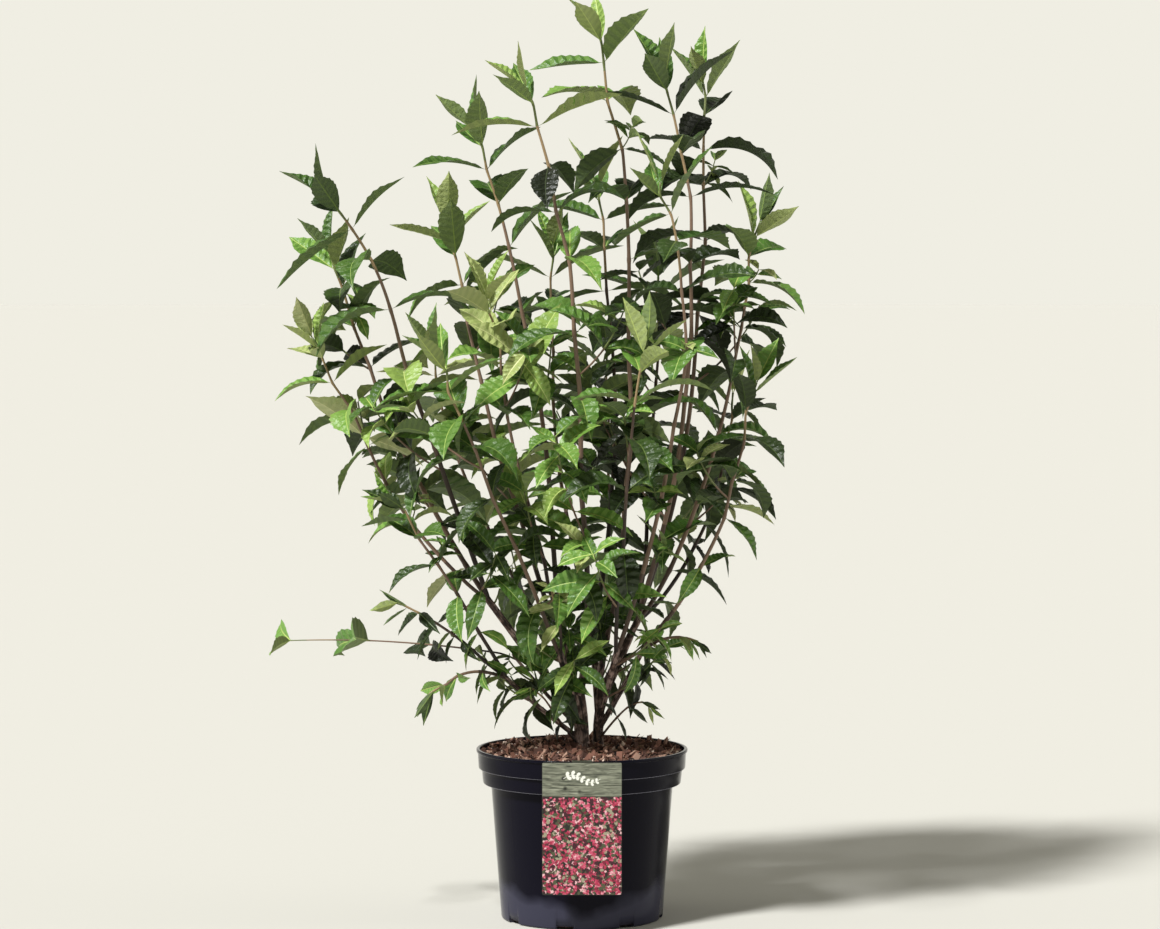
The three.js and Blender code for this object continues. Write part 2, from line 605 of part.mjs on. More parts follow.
// Side twigs rise from the leaf axils of a cane's older nodes.
function twigUp(cane, random) {
  const nodes = nodesOf(cane.length, cane.internode, CANE.bareFoot).filter((back) => back > TWIG.fromTip);
  nodes.forEach((back, k) => {
    const turn = random() * 2 * Math.PI;
    const grownShare = smooth(back / CANE.longest);
    const reach = mix(TWIG.shortest, TWIG.longest, grownShare) * mix(0.85, 1.15, random());
    if (k % TWIG.everyNode === 0) addTwig(cane, 1 - back / cane.length, turn, reach, random);
  });
}

function growStem(cane) {
  keep(cane, limb(cane.curve, cane.radius, 3, cane.steps), "stem");
}

// Short canes have smaller leaves and no twigs.
function growLeaves(cane) {
  const random = seeded(cane.seed);
  const leafScale = cane.leafScale * mix(0.74, 1, smooth((cane.length - 60) / CANE.twiggyFrom));
  leafUp(cane, { ...cane, leafScale, bareFoot: CANE.bareFoot }, random);
  if (cane.length > CANE.twiggyFrom && !cane.sparse) twigUp(cane, random);
}

// A mass of foliage is its cane's stem, twigs and leaves fused into one solid, cut clear of the bare limbs.
function makeFoliage(cane) {
  const own = grown.filter((piece) => piece.cane === cane).map((piece) => piece.solid);
  const mass = cutClear(wasm.Manifold.union(own), cane.curve);
  place(`foliage_${cane.name}`, biggestOf(mass), MATERIAL.foliage);
}

// ---------------------------------------------------------------- the whole plant

makePot();
makeSoil();
makeLabel();
Object.entries(TRUNKS).forEach(makeTrunk);
Object.entries(BOUGHS).forEach(makeBough);
canes.forEach(layOut);
canes.forEach(growStem);
canes.forEach(growLeaves);
canes.forEach(makeFoliage);

export default shrub;
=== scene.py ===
# %% [markdown]
# # A weigela in its nursery pot
# This lesson dresses a plain CAD model of a garden shrub: two short woody trunks, thirteen boughs, long canes
# with opposite pairs of pleated leaves, a glossy black pot, bark compost and a picture label.
# The CAD model comes first. It fixes every size, and nothing made here may leave its box.
# A plant is a rule repeated with small changes, so most of the script is one rule for a shoot and one surface
# for a leaf, worked out for hundreds of leaves at once with numpy.

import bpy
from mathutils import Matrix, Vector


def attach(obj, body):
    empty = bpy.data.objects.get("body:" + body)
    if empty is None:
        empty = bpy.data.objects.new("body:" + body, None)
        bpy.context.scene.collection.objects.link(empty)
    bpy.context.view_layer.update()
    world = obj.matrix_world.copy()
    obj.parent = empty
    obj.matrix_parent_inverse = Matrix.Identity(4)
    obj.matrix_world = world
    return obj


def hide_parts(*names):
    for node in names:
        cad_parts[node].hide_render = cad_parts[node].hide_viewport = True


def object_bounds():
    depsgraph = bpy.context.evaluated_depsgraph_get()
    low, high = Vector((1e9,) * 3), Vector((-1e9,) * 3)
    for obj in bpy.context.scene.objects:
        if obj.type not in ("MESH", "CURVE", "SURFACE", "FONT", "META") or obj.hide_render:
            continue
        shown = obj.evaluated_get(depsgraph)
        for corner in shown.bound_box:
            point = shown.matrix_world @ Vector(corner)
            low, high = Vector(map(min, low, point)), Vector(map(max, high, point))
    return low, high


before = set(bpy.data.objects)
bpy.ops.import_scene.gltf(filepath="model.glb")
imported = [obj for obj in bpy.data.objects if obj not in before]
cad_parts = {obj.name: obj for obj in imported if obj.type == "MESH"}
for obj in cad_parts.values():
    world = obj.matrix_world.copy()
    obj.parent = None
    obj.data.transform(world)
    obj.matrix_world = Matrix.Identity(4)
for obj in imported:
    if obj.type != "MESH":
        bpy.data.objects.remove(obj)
cad_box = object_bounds()
print("the CAD model reaches", [[round(x, 3) for x in corner] for corner in cad_box])

# %% Tools
import math

import bpy
import numpy as np
from mathutils import Vector

MM = 0.001  # the tables below are in millimetres, and Blender's meshes are in metres
UP = np.array([0.0, 0.0, 1.0])
TURN = 2 * math.pi


def mix(a, b, t):
    """a where t is 0, b where t is 1, and in proportion between."""
    return a + (b - a) * t


def ramp(x, start, end):
    """0 up to `start`, 1 from `end` on, and 3t^2 - 2t^3 between them, which starts and ends level. The end
    may be the smaller of the two."""
    t = np.clip((x - start) / (end - start), 0.0, 1.0)
    return t * t * (3 - 2 * t)


def unit(v):
    """The vectors scaled to length 1."""
    return v / np.maximum(np.linalg.norm(v, axis=-1, keepdims=True), 1e-9)


def turned(v, axis, angle):
    """v turned round a unit axis: the part across the axis turns, by Rodrigues' formula."""
    cos, sin = math.cos(angle), math.sin(angle)
    return v * cos + np.cross(axis, v) * sin + axis * (axis @ v) * (1 - cos)


def around(count):
    """`count` even steps of angle round a full turn."""
    return np.arange(count) * TURN / count


# %% [markdown]
# ## Meshes from arrays
# Blender can make a shape from primitives, curves or sculpting. Here each surface is an array of points on
# a grid of two parameters, because one formula then makes a pot, a stem or a thousand leaves.
# A grid's faces join each point to the next in both directions, and a grid may close on itself like a tube.

# %% Grids and pieces
def grid_faces(rows, columns, goes_round=False):
    """Four-cornered faces (row, column) to (row + 1, column + 1) of a grid, with the last column joined to
    the first if it goes round."""
    r, c = np.meshgrid(np.arange(rows - 1), np.arange(columns - (not goes_round)), indexing="ij")
    right = (c + 1) % columns
    corners = [r * columns + c, r * columns + right, (r + 1) * columns + right, (r + 1) * columns + c]
    return np.stack(corners, -1).reshape(-1, 4)


def cap(first, count):
    """Closes a ring of an even number of points with a ladder of quads: point i and its neighbour are
    joined to the two points that face them."""
    i = np.arange(count // 2 - 1)
    return first + np.stack([i, i + 1, count - 2 - i, count - 1 - i], -1)


def tube_faces(rings, sides):
    """Faces of a tube of rings, closed at both ends by ladders. The first cap is turned to face out."""
    last = (rings - 1) * sides
    return np.concatenate([grid_faces(rings, sides, True), cap(0, sides)[:, ::-1], cap(last, sides)])


def copies(faces, count, points_each):
    """Faces of `count` shapes that are built alike: each shape's point numbers follow on from the last
    one's."""
    return (np.asarray(faces) + np.arange(count)[:, None, None] * points_each).reshape(-1, len(faces[0]))


def joined(parts):
    """Joins (points, faces, material numbers) of many small meshes into one, moving each mesh's point numbers
    on. One material number may stand for a whole mesh."""
    parts = [(points.reshape(-1, 3), faces, which) for points, faces, which in parts]
    starts = np.cumsum([0] + [len(points) for points, _, _ in parts[:-1]])
    faces = [faces + start for (_, faces, _), start in zip(parts, starts)]
    which = [np.broadcast_to(which, len(faces)) for _, faces, which in parts]
    return np.concatenate([points for points, _, _ in parts]), np.concatenate(faces), np.concatenate(which)


def piece(name, points, faces, materials, which=0, stands_for=(), smooth_shading=True):
    """Makes an object from points in millimetres and faces of equal corner count. `which` is each face's
    material number. The object rides on the part's one body and stands for the CAD nodes named."""
    points = np.reshape(points, (-1, 3))
    mesh = bpy.data.meshes.new(name)
    mesh.vertices.add(len(points))
    mesh.vertices.foreach_set("co", (points * MM).astype(np.float32).ravel())
    mesh.loops.add(faces.size)
    mesh.loops.foreach_set("vertex_index", faces.astype(np.int32).ravel())
    mesh.polygons.add(len(faces))
    mesh.polygons.foreach_set("loop_start", np.arange(0, faces.size, faces.shape[1], dtype=np.int32))
    mesh.polygons.foreach_set("material_index", np.broadcast_to(which, len(faces)).astype(np.int32))
    mesh.polygons.foreach_set("use_smooth", np.full(len(faces), smooth_shading))
    for coat in materials:
        mesh.materials.append(coat)
    mesh.update(calc_edges=True)
    made = bpy.data.objects.new(name, mesh)
    bpy.context.scene.collection.objects.link(made)
    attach(made, "root")
    if stands_for:
        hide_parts(*stands_for)
    triangles = len(faces) * (faces.shape[1] - 2)
    size = np.ptp(points, axis=0).round(0).astype(int)
    print(f"{name}: {triangles} triangles, {size[0]} x {size[1]} x {size[2]} mm")
    return made


# %% [markdown]
# ## Colours and materials
# Screen colours are written as sRGB hex values, and Blender's shaders want linear light, so one function
# turns the first into the second. Another adds one node to a material, with its settings and its links.

# %% Material helpers
def channels(code):
    """Red, green and blue of a hex colour, from 0 to 255."""
    return np.array([int(code[i : i + 2], 16) for i in (0, 2, 4)])


def linear(code):
    """An sRGB hex colour as linear light: each channel above 0.04 is ((c + 0.055) / 1.055) to the power
    2.4."""
    c = channels(code) / 255
    return (*np.where(c > 0.04045, ((c + 0.055) / 1.055) ** 2.4, c / 12.92).tolist(), 1.0)


def blended(code, other, share):
    """The hex colour a share of the way from one to another."""
    return "".join(f"{round(v):02x}" for v in mix(channels(code), channels(other), share))


def repeats(size):
    """A texture's scale for a pattern of this size in millimetres: how often it repeats in a metre."""
    return 1 / (size * MM)


def add(tree, kind, inputs=(), stops=(), **settings):
    """Adds one node. `inputs` pairs a socket's name or number with a value or with another node's output,
    `stops` fills a colour ramp with (place, hex), and the rest are the node's own settings. Sockets 1 to 4 of
    Map Range are the range it reads and the range it gives. A colour Mix has its two colours at 6 and 7."""
    node = tree.nodes.new("ShaderNode" + kind)
    for key, value in settings.items():
        setattr(node, key, value)
    for key, value in dict(inputs).items():
        if isinstance(value, bpy.types.NodeSocket):
            tree.links.new(value, node.inputs[key])
        else:
            node.inputs[key].default_value = value
    for i, (place, code) in enumerate(stops):
        stop = node.color_ramp.elements[i] if i < 2 else node.color_ramp.elements.new(place)
        stop.position, stop.color = place, linear(code)
    return node


def material(name, code, roughness, **sockets):
    """A material with one Principled shader: its base colour, its roughness and any other sockets by name."""
    made = bpy.data.materials.new(name)
    made.use_nodes = True
    made.diffuse_color = linear(code)
    shader = made.node_tree.nodes["Principled BSDF"]
    shader.inputs["Base Color"].default_value = linear(code)
    shader.inputs["Roughness"].default_value = roughness
    for key, value in sockets.items():
        shader.inputs[key.replace("_", " ")].default_value = value
    return made, made.node_tree, shader


def feed(tree, shader, **outputs):
    """Links nodes' outputs to the shader's sockets by name."""
    for key, output in outputs.items():
        tree.links.new(output, shader.inputs[key.replace("_", " ")])


# %% [markdown]
# ## The nursery pot
# The real pot is blown or injection moulded from black polypropylene, 10 litres, with a stacking rim of two
# bands and drain slots in the foot. It could be a lathed curve with a Screw modifier. A grid of height
# profile by angle does the same, and it lets the drain slots be cut by giving the slot's columns another
# profile.

# %% The pot's surface
# The outside from the middle of the underside up to the lip, then the inside down to the floor: radius,
# height and how round the corner is, in millimetres.
OUTSIDE = [(0.5, 0, 0), (100, 0, 0), (107, 0, 3), (120.5, 179, 1.5), (131, 179, 2), (133, 199, 1.5),
           (137, 199, 1.8), (138, 220.4, 1), (140, 221, 1), (140, 225, 1.6)]
INSIDE = [(135.6, 225, 1.2), (134.5, 201.5, 2), (128.5, 181.5, 2), (118, 181.5, 2), (104.5, 2.5, 3),
          (0.5, 2.5, 0)]
FOOT_RADIUS, SPACING, COLUMNS = 107, 14, 180
SLOTS, SLOT_WIDTH, SLOT_HEIGHT, SLOT_BACK = 8, 23, 6, 97.5  # a slot reaches in to this radius
FIRST_SLOT = math.radians(-12) - math.pi / 2  # a little to the left of the front


def rounded(corners, steps=4):
    """A polyline with each corner replaced by an arc-like bow: a quadratic Bezier from `r` before the
    corner to `r` after it, with the corner as its pull point."""
    points = [np.array(corners[0][:2], float)]
    for before, (x, z, r), after in zip(corners, corners[1:], corners[2:]):
        corner = np.array([x, z], float)
        back, on = (np.array(p[:2], float) - corner for p in (before, after))
        start, end = corner + unit(back) * r, corner + unit(on) * r
        t = np.linspace(0, 1, steps if r else 1)[:, None]
        points.extend((1 - t) ** 2 * start + 2 * t * (1 - t) * corner + t**2 * end)
    points.append(np.array(corners[-1][:2], float))
    return np.array(points)


def filled(line, spacing):
    """The polyline with points added so that none lie further apart than `spacing`, for even shading."""
    parts = [line[:1]]
    for a, b in zip(line, line[1:]):
        count = max(1, math.ceil(np.linalg.norm(b - a) / spacing))
        parts.append(mix(a, b, np.linspace(0, 1, count + 1)[1:, None]))
    return np.concatenate(parts)


def wrapped(angle):
    """The angle from -pi to pi."""
    return (angle + math.pi) % TURN - math.pi


profile = filled(rounded(OUTSIDE + INSIDE), SPACING)
# In a slot's columns every point of the foot that is lower than the slot and outside its back rises to its
# roof.
outer = np.arange(len(profile)) < len(profile) // 2
foot = outer & (profile[:, 1] < SLOT_HEIGHT) & (profile[:, 0] > SLOT_BACK)
half_slot = math.asin(SLOT_WIDTH / 2 / FOOT_RADIUS)
centres = FIRST_SLOT + around(SLOTS)
even = np.linspace(-math.pi, math.pi, COLUMNS, endpoint=False)
away = np.abs(wrapped(even[:, None] - centres)).min(1)
angles = [(a, d < half_slot) for a, d in zip(even, away) if abs(d - half_slot) > 0.01]
for centre in centres:  # both sides of a slot's edges, a hair apart, so that its cheeks stand upright
    angles += [(centre + side * (half_slot + gap), gap < 0) for side in (-1, 1) for gap in (-2e-4, 2e-4)]
angles = sorted((wrapped(a), cut) for a, cut in angles)
theta, cut = (np.array(column)[:, None] for column in zip(*angles))
height = np.where(cut & foot, SLOT_HEIGHT, profile[:, 1])
pot_points = np.stack([profile[:, 0] * np.cos(theta), profile[:, 0] * np.sin(theta), height], -1)
pot_points = pot_points.transpose(1, 0, 2)
pot_faces = tube_faces(*pot_points.shape[:2])
print("the pot's grid:", len(profile), "heights by", len(theta), "angles")

# %% [markdown]
# Moulded polypropylene is black through and through, with a high but not perfect gloss: the steel mould
# leaves faint waves, and handling leaves dust and fine scuffs. A slow noise bends the reflections, and a
# finer one, of about 2 mm, makes the gloss uneven. Polypropylene has an IOR of 1.49, but in a room as pale
# as this one a lower value keeps the black deep. A paler grey band at the foot, higher at the sides, is
# partly dust and partly a painted reflection of the pale floor.
# The two stacking edges carry a pale grey line: a painted highlight.

# %% Black moulded polypropylene
BLACK, DUST_AND_FLOOR_REFLECTION = "0e0d18", "373745"
STACKING_EDGES, EDGE_REACH = (4, 6), 1.3  # their places in OUTSIDE, and how far the shine goes round them
pot_black, tree, shader = material("black_moulded_polypropylene", BLACK, 0.2, IOR=1.17)
place = add(tree, "TexCoord").outputs["Object"]
waves = add(tree, "TexNoise", {"Vector": place, "Scale": repeats(45.5), "Detail": 2.0, "Roughness": 0.5})
dust = add(tree, "TexNoise", {"Vector": place, "Scale": repeats(2.08), "Detail": 4.0, "Roughness": 0.65})
gloss = add(tree, "MapRange", {"Value": dust.outputs["Fac"], 1: 0.3, 2: 0.75, 3: 0.08, 4: 0.2})
where = add(tree, "SeparateXYZ", {"Vector": place}).outputs
# The foot's paler band, higher at the sides: partly dust, partly a painted reflection of the floor.
drift = add(tree, "Math", {0: waves.outputs["Fac"], 1: 0.04, 2: where["Z"]}, operation="MULTIPLY_ADD")
aside = add(tree, "Math", {0: where["X"]}, operation="ABSOLUTE").outputs[0]
bowed = add(tree, "Math", {0: aside, 1: -0.3, 2: drift.outputs[0]}, operation="MULTIPLY_ADD").outputs[0]
low = add(tree, "MapRange", {"Value": bowed, 1: 0.03, 2: 0.05, 3: 1.0, 4: 0.0}).outputs["Result"]
dust_and_reflection_tint = add(tree, "Mix", {"Factor": low, 6: linear(BLACK), 7: linear(DUST_AND_FLOOR_REFLECTION)}, data_type="RGBA")
relief = add(tree, "Bump", {"Height": waves.outputs["Fac"], "Strength": 0.12, "Distance": 0.0015})
feed(tree, shader, Base_Color=dust_and_reflection_tint.outputs[2], Roughness=gloss.outputs["Result"], Normal=relief.outputs[0])
# Painted highlight: a pale grey material on the faces along the two stacking edges stands in for their shine.
painted_highlight = material("burnished_polypropylene_edge", "777786", 0.35)[0]
to_edges = [np.linalg.norm(profile - OUTSIDE[k][:2], axis=1) for k in STACKING_EDGES]
edge = np.min(to_edges, axis=0) < EDGE_REACH
which = np.zeros(len(pot_faces), int)
which[: (len(profile) - 1) * len(theta)] = np.repeat(edge[1:] & edge[:-1], len(theta))
piece("nursery_pot", pot_points, pot_faces, [pot_black, painted_highlight], which, ["pot"])

# %% [markdown]
# ## The growing rule
# A real weigela grows as shoots: each has a line, a taper and nodes, and at each node two leaves opposite
# each other, a quarter turn round from the pair below. Curve objects with instances could do it, but an
# export drops instances, so the rule is written out and its leaves and stems become plain meshes.
# The limbs' tables are those of the CAD model: where each trunk stands, where each bough forks, and the
# waist and tip of each cane. Only the stray's tip is 33 mm nearer, so that its leaves stay in the CAD
# model's box.

# %% Trunks, boughs and canes
TRUNKS = {
    "left": dict(foot=(0, -5), fork=(-5, -5, 296), radii=(17, 11, 9)),
    "right": dict(foot=(21, 11), fork=(26, 12, 306), radii=(12, 7.5, 6.5)),
}
SOIL_TOP, FLARE_HEIGHT, CLEARANCE = 222, 22, 0.3
# A bough leaves its trunk at a share of the trunk's length, or from its "top". Then come its end and its
# radii.
BOUGHS = {
    "left_low": ("left", 0.18, (-105, -60, 330), (3.6, 3)),
    "left_stray": ("left", 0.36, (-90, -22, 350), (2.8, 2.2)),
    "left": ("left", 0.58, (-130, -45, 435), (6, 4.6)),
    "front": ("left", 0.6, (-30, -72, 360), (4.6, 3.8)),
    "back_left": ("left", 0.5, (-35, 78, 360), (5, 4)),
    "centre": ("left", "top", (8, -35, 375), (5.4, 4.8)),
    "centre_left": ("left", "top", (-38, 32, 420), (5.4, 4.6)),
    "right_low": ("right", 0.3, (82, -30, 362), (4, 3.4)),
    "front_right": ("right", 0.5, (46, -72, 362), (4.6, 4)),
    "back": ("right", 0.48, (14, 92, 385), (5, 4.4)),
    "back_right": ("right", 0.68, (76, 72, 392), (4.8, 4.2)),
    "right": ("right", "top", (78, 0, 402), (5.2, 4.6)),
    "centre_right": ("right", "top", (34, 30, 372), (4.8, 4.4)),
}
# Each cane: its bough (or its trunk and a share), waist, tip, nod along X, thickness, and a shade from -2,
# the darkest foliage, to 4, the palest. The shade is partly the leaves' own tone and partly painted light and
# shade: some canes at the back and right, away from the light, are darker, and some at the left and front
# paler.
CANES = {
    "left_high": ("left", (-214, -92, 700), (-272, -112, 950), -54, 1, 0),
    "left_mid": ("left", (-252, 12, 655), (-324, 26, 880), -10, 1, 0),
    "left_outer": ("left", (-262, -58, 590), (-335, -66, 770), -16, 0.7, 2),
    "left_low": ("left_low", (-168, -118, 450), (-238, -150, 560), 0, 0.7, 0),
    "left_spray": ("left_low", (-172, -92, 388), (-238, -108, 428), 0, 0.6, 0),
    "left_skirt": ("left_low", (-150, -96, 334), (-202, -118, 306), 0, 0.6, 0),
    "stray": ("left_stray", (-235, -30, 368), (-382, -43, 372), 0, 0.55, 0),
    "centre_left": ("centre_left", (-66, 30, 730), (-130, 24, 1040), -10, 1, 1),
    "pale": ("centre_left", (-82, -26, 600), (-124, -58, 830), 0, 0.75, 3),
    "centre": ("centre", (-2, -108, 700), (-42, -132, 1090), -30, 1.2, 1),
    "crown": ("centre_right", (66, 14, 715), (36, -8, 1172), -16, 1.1, 0),
    "right_top": ("right", (140, -14, 715), (136, 2, 1110), -28, 1, -1),
    "right_outer": ("right", (184, 24, 650), (206, 34, 920), 30, 0.9, 0),
    "right_low": ("right_low", (172, -72, 505), (226, -90, 712), 0, 0.8, 0),
    "right_skirt": ("right_low", (118, -48, 376), (152, -58, 372), 0, 0.6, 0),
    "front_left": ("front", (-118, -170, 585), (-182, -200, 745), 0, 0.8, 1),
    "front_tuft": ("front", (-30, -112, 400), (-40, -140, 450), 0, 0.55, 4),
    "back": ("back", (44, 148, 640), (22, 168, 970), 0, 1, -1),
    "back_mid": ("back", (-34, 188, 630), (-40, 200, 890), 0, 0.9, 0),
    "back_low": ("back", (38, 212, 560), (32, 232, 755), 0, 0.8, 0),
    "back_left": ("back_left", (-122, 106, 655), (-182, 130, 920), 0, 1, 1),
    "back_left_low": ("back_left", (-144, 166, 540), (-206, 186, 750), 0, 0.8, 0),
    "front_right": ("front_right", (125, -128, 690), (112, -148, 970), -12, 0.9, 1),
    "front": ("front_right", (58, -190, 590), (82, -204, 768), 0, 0.8, 0),
    "right_back": ("back_right", (150, 90, 690), (154, 84, 1105), 8, 1, -1),
    "back_right": ("back_right", (98, 170, 620), (104, 196, 865), 0, 0.9, 0),
    "back_right_low": ("back_right", (168, 150, 515), (206, 170, 690), 0, 0.8, 0),
    "sprout_right": (("right", 0.12), (62, -22, 282), (88, -30, 284), 0, 0.4, 1),
    "sprout_left": (("left", 0.02), (-46, -46, 290), (-68, -66, 312), 0, 0.4, 1),
}
STEPS = 120  # straight stretches in the line of a limb
HEART = -8  # the point of its parent's line that a forked limb grows out of
CANE_RADIUS = 4.4  # at the foot of a cane of thickness 1
NOD_FROM, NOD_OVER = 0.66, 0.34  # a cane nods from the first share of its length on, over the second


def bow(a, pull, b, count=STEPS + 1):
    """Points of the quadratic Bezier (1 - t)^2 a + 2t(1 - t) pull + t^2 b."""
    t = np.linspace(0, 1, count)[:, None]
    a, pull, b = (np.asarray(p, float) for p in (a, pull, b))
    return (1 - t) ** 2 * a + 2 * t * (1 - t) * pull + t**2 * b


def lengths(line):
    """How far along the line each of its points lies."""
    return np.concatenate([[0], np.cumsum(np.linalg.norm(np.diff(line, axis=0), axis=1))])


def at(line, distance):
    """The points of a line at these distances along it, between its own points in proportion."""
    s = lengths(line)
    return np.stack([np.interp(distance, s, line[:, k]) for k in range(3)], -1)


def heading(line, distance):
    """The unit direction of the line at a distance along it, from points 2 mm before and behind."""
    return unit(at(line, distance + 2) - at(line, distance - 2))


def fork_starts(line, targets, radius):
    """Where limbs that share a fork start: evenly spaced round the parent's end, each on the side it leans
    to, (radius + clearance) / sin(pi / n) from its axis."""
    targets = np.asarray(targets, float)
    count = len(targets)
    along = unit(line[-1] - line[-2])
    seat = line[-1] + along * CLEARANCE
    if count == 1:
        return [seat]
    across = unit(np.cross([1, 0, 0], along))
    facing = np.cross(across, along)
    offset = targets - targets.mean(0)
    angle = np.arctan2(offset @ facing, offset @ across)
    order = np.argsort(angle)
    step = TURN / count
    turn = (angle[order] - np.arange(count) * step).mean() + np.argsort(order) * step
    reach = (radius + CLEARANCE) / math.sin(math.pi / count)
    return [seat + reach * (math.cos(a) * across + math.sin(a) * facing) for a in turn]


def rooted(line, parent, over):
    """Bends the first `over` millimetres of a line so that it grows out of its parent's heart."""
    s = lengths(line)[:, None]
    return line + (parent[HEART] - line[0]) * np.clip(1 - s / over, 0, 1) ** 2


trunk_lines, bough_lines, cane_lines = {}, {}, {}
for name, row in TRUNKS.items():
    start = np.array([*row["foot"], SOIL_TOP + CLEARANCE])
    rise = row["fork"][2] - start[2]
    trunk_lines[name] = bow(start, start + UP * rise / 2, row["fork"])
for name, (trunk, share, fork, radii) in BOUGHS.items():
    parent = trunk_lines[trunk]
    forked = share == "top"
    if forked:
        twins = [n for n, row in BOUGHS.items() if row[0] == trunk and row[1] == "top"]
        start = fork_starts(parent, [BOUGHS[n][2] for n in twins], radii[0])[twins.index(name)]
    else:
        start = parent[round(share * STEPS)]
    pull = mix(start, np.array(fork, float), 0.5) + UP * (4 if forked else -6)  # side boughs sag a little
    line = bow(start, pull, fork)
    bough_lines[name] = rooted(line, parent, 16) if forked else line
for name, (parent, waist, tip, nod, *_) in CANES.items():
    forked = isinstance(parent, str)
    if forked:
        twins = [n for n, row in CANES.items() if row[0] == parent]
        widest = max(CANE_RADIUS * CANES[n][4] for n in twins)
        start = fork_starts(bough_lines[parent], [CANES[n][1] for n in twins], widest)[twins.index(name)]
    else:
        start = trunk_lines[parent[0]][round(parent[1] * STEPS)]
    pull = 2 * np.array(waist, float) - (start + np.array(tip)) / 2
    line = bow(start, pull, tip)
    line[:, 0] += nod * np.clip((np.linspace(0, 1, len(line)) - NOD_FROM) / NOD_OVER, 0, 1) ** 2
    cane_lines[name] = rooted(line, bough_lines[parent], 22) if forked else line
print(len(cane_lines), "canes,", round(sum(lengths(x)[-1] for x in cane_lines.values())), "mm of them")

# %% [markdown]
# ### Room for each cane
# In a real crown neighbouring canes shade each other out, so each keeps its leaves to its own side. The
# rule: a point belongs to the nearest cane, give or take an overlap. Distances to all canes' lines are
# worked out for many points at once. A leaf that would also run into an earlier leaf is turned, made
# smaller, or left out.

# %% Distances
OVERLAP = 75  # how far, in mm, a leaf may reach into the space of a neighbouring cane
LIMB_ROOM = 1.5  # how far leaves and twigs keep from the bare limbs
BOX_ROOM = 6  # how far they keep from the sides of the CAD model's box
LOWEST = 229  # how low they may hang, just above the pot's rim
STRETCHES = 16  # a coarser line for each limb, which is enough for distances
limb_lines = [*trunk_lines.values(), *bough_lines.values()]
limb_radii = np.array([row["radii"][1] for row in TRUNKS.values()] + [row[3][0] for row in BOUGHS.values()])
limb_stretches = np.stack([line[:: STEPS // STRETCHES][: STRETCHES + 1] for line in limb_lines])
evenly = [(line, np.linspace(0, lengths(line)[-1], STRETCHES + 1)) for line in cane_lines.values()]
cane_stretches = np.stack([at(line, s) for line, s in evenly])
cane_names = list(cane_lines)
space = np.array(cad_box) / MM + [[BOX_ROOM], [-BOX_ROOM]]
space[0, 2] = LOWEST
print("leaves may fill", np.ptp(space, axis=0).round().astype(int).tolist(), "mm")


def distances(points, lines):
    """Distance from each point to each line of points: the nearest place on each straight stretch is its
    start plus a share of its length, clipped to 0..1."""
    start, step = lines[:, :-1], np.diff(lines, axis=1)
    gap = points[:, None, None] - start
    share = np.clip((gap * step).sum(-1) / (step * step).sum(-1), 0, 1)
    return np.linalg.norm(gap - share[..., None] * step, axis=-1).min(-1)


def fits(points, cane):
    """True if every point is in the CAD model's box, above the pot's rim and clear of the bare limbs, and
    if none is nearer to another cane than to its own by more than the overlap. A shoot on bare wood has no
    cane."""
    if (points < space[0]).any() or (points > space[1]).any():
        return False
    if (distances(points, limb_stretches) < limb_radii + LIMB_ROOM).any():
        return False
    if cane is None:
        return True
    to_canes = distances(points, cane_stretches)
    k = cane_names.index(cane)
    return bool((np.delete(to_canes, k, axis=1).min(1) > to_canes[:, k] - OVERLAP).all())


# %% [markdown]
# ### One leaf
# A full-grown weigela leaf is 65 to 110 mm long, and those on side shoots and near the ground are smaller.
# It is pointed, folded a little along its midrib, and pleated between some eight pairs of side veins, with
# a toothed, wavy edge. Young leaves stand upright round the tip and show their grey undersides, and old
# ones arch down. An image on a flat card would be cheaper, but it can't be seen from all sides. Here a leaf
# is a closed shell of two small grids whose rows follow the side veins, so that the pleats and teeth fall
# where the veins are.

# %% The leaf's surface
# Shares of the length at which a leaf has a row of points: the stalk, then alternately a vein and a furrow.
STALK_END = 0.05
ROWS = np.array([0, STALK_END, *np.linspace(0.1, 1, 16)])
FEW_ROWS = np.array([ROWS[0], *ROWS[1::2]])  # a small leaf has every other row
SMALL_LEAF = 50  # millimetres
ACROSS = np.array([-1, -0.54, 0, 0, 0.54, 1])  # shares of the half width; the middle two bound the midrib
RIB = np.array([0, 0, -1, 1, 0, 0])
PLEATED = np.array([0.35, 1, 0, 0, 1, 0.35])  # how much of the pleat's height each column has
UNDER = [0, 2, 3, 5]  # the underside has fewer columns, and shares its rim with the upper side
STALK, TIP, THICKNESS = 0.9, 0.3, 0.5  # half widths of the stalk and of the very tip, and the blade, in mm
PLEAT, WAVE, TEETH = 0.08, 0.07, 0.035  # how far they stand out, as shares of the half width
SLANT = 0.42  # how far forward the side veins run, as a share of the distance from the midrib
RIB_HALF, RIB_SUNK, RIB_THICK = (0.8, 0.3), 0.5, 0.6  # half width at root and tip, dip above, ridge below


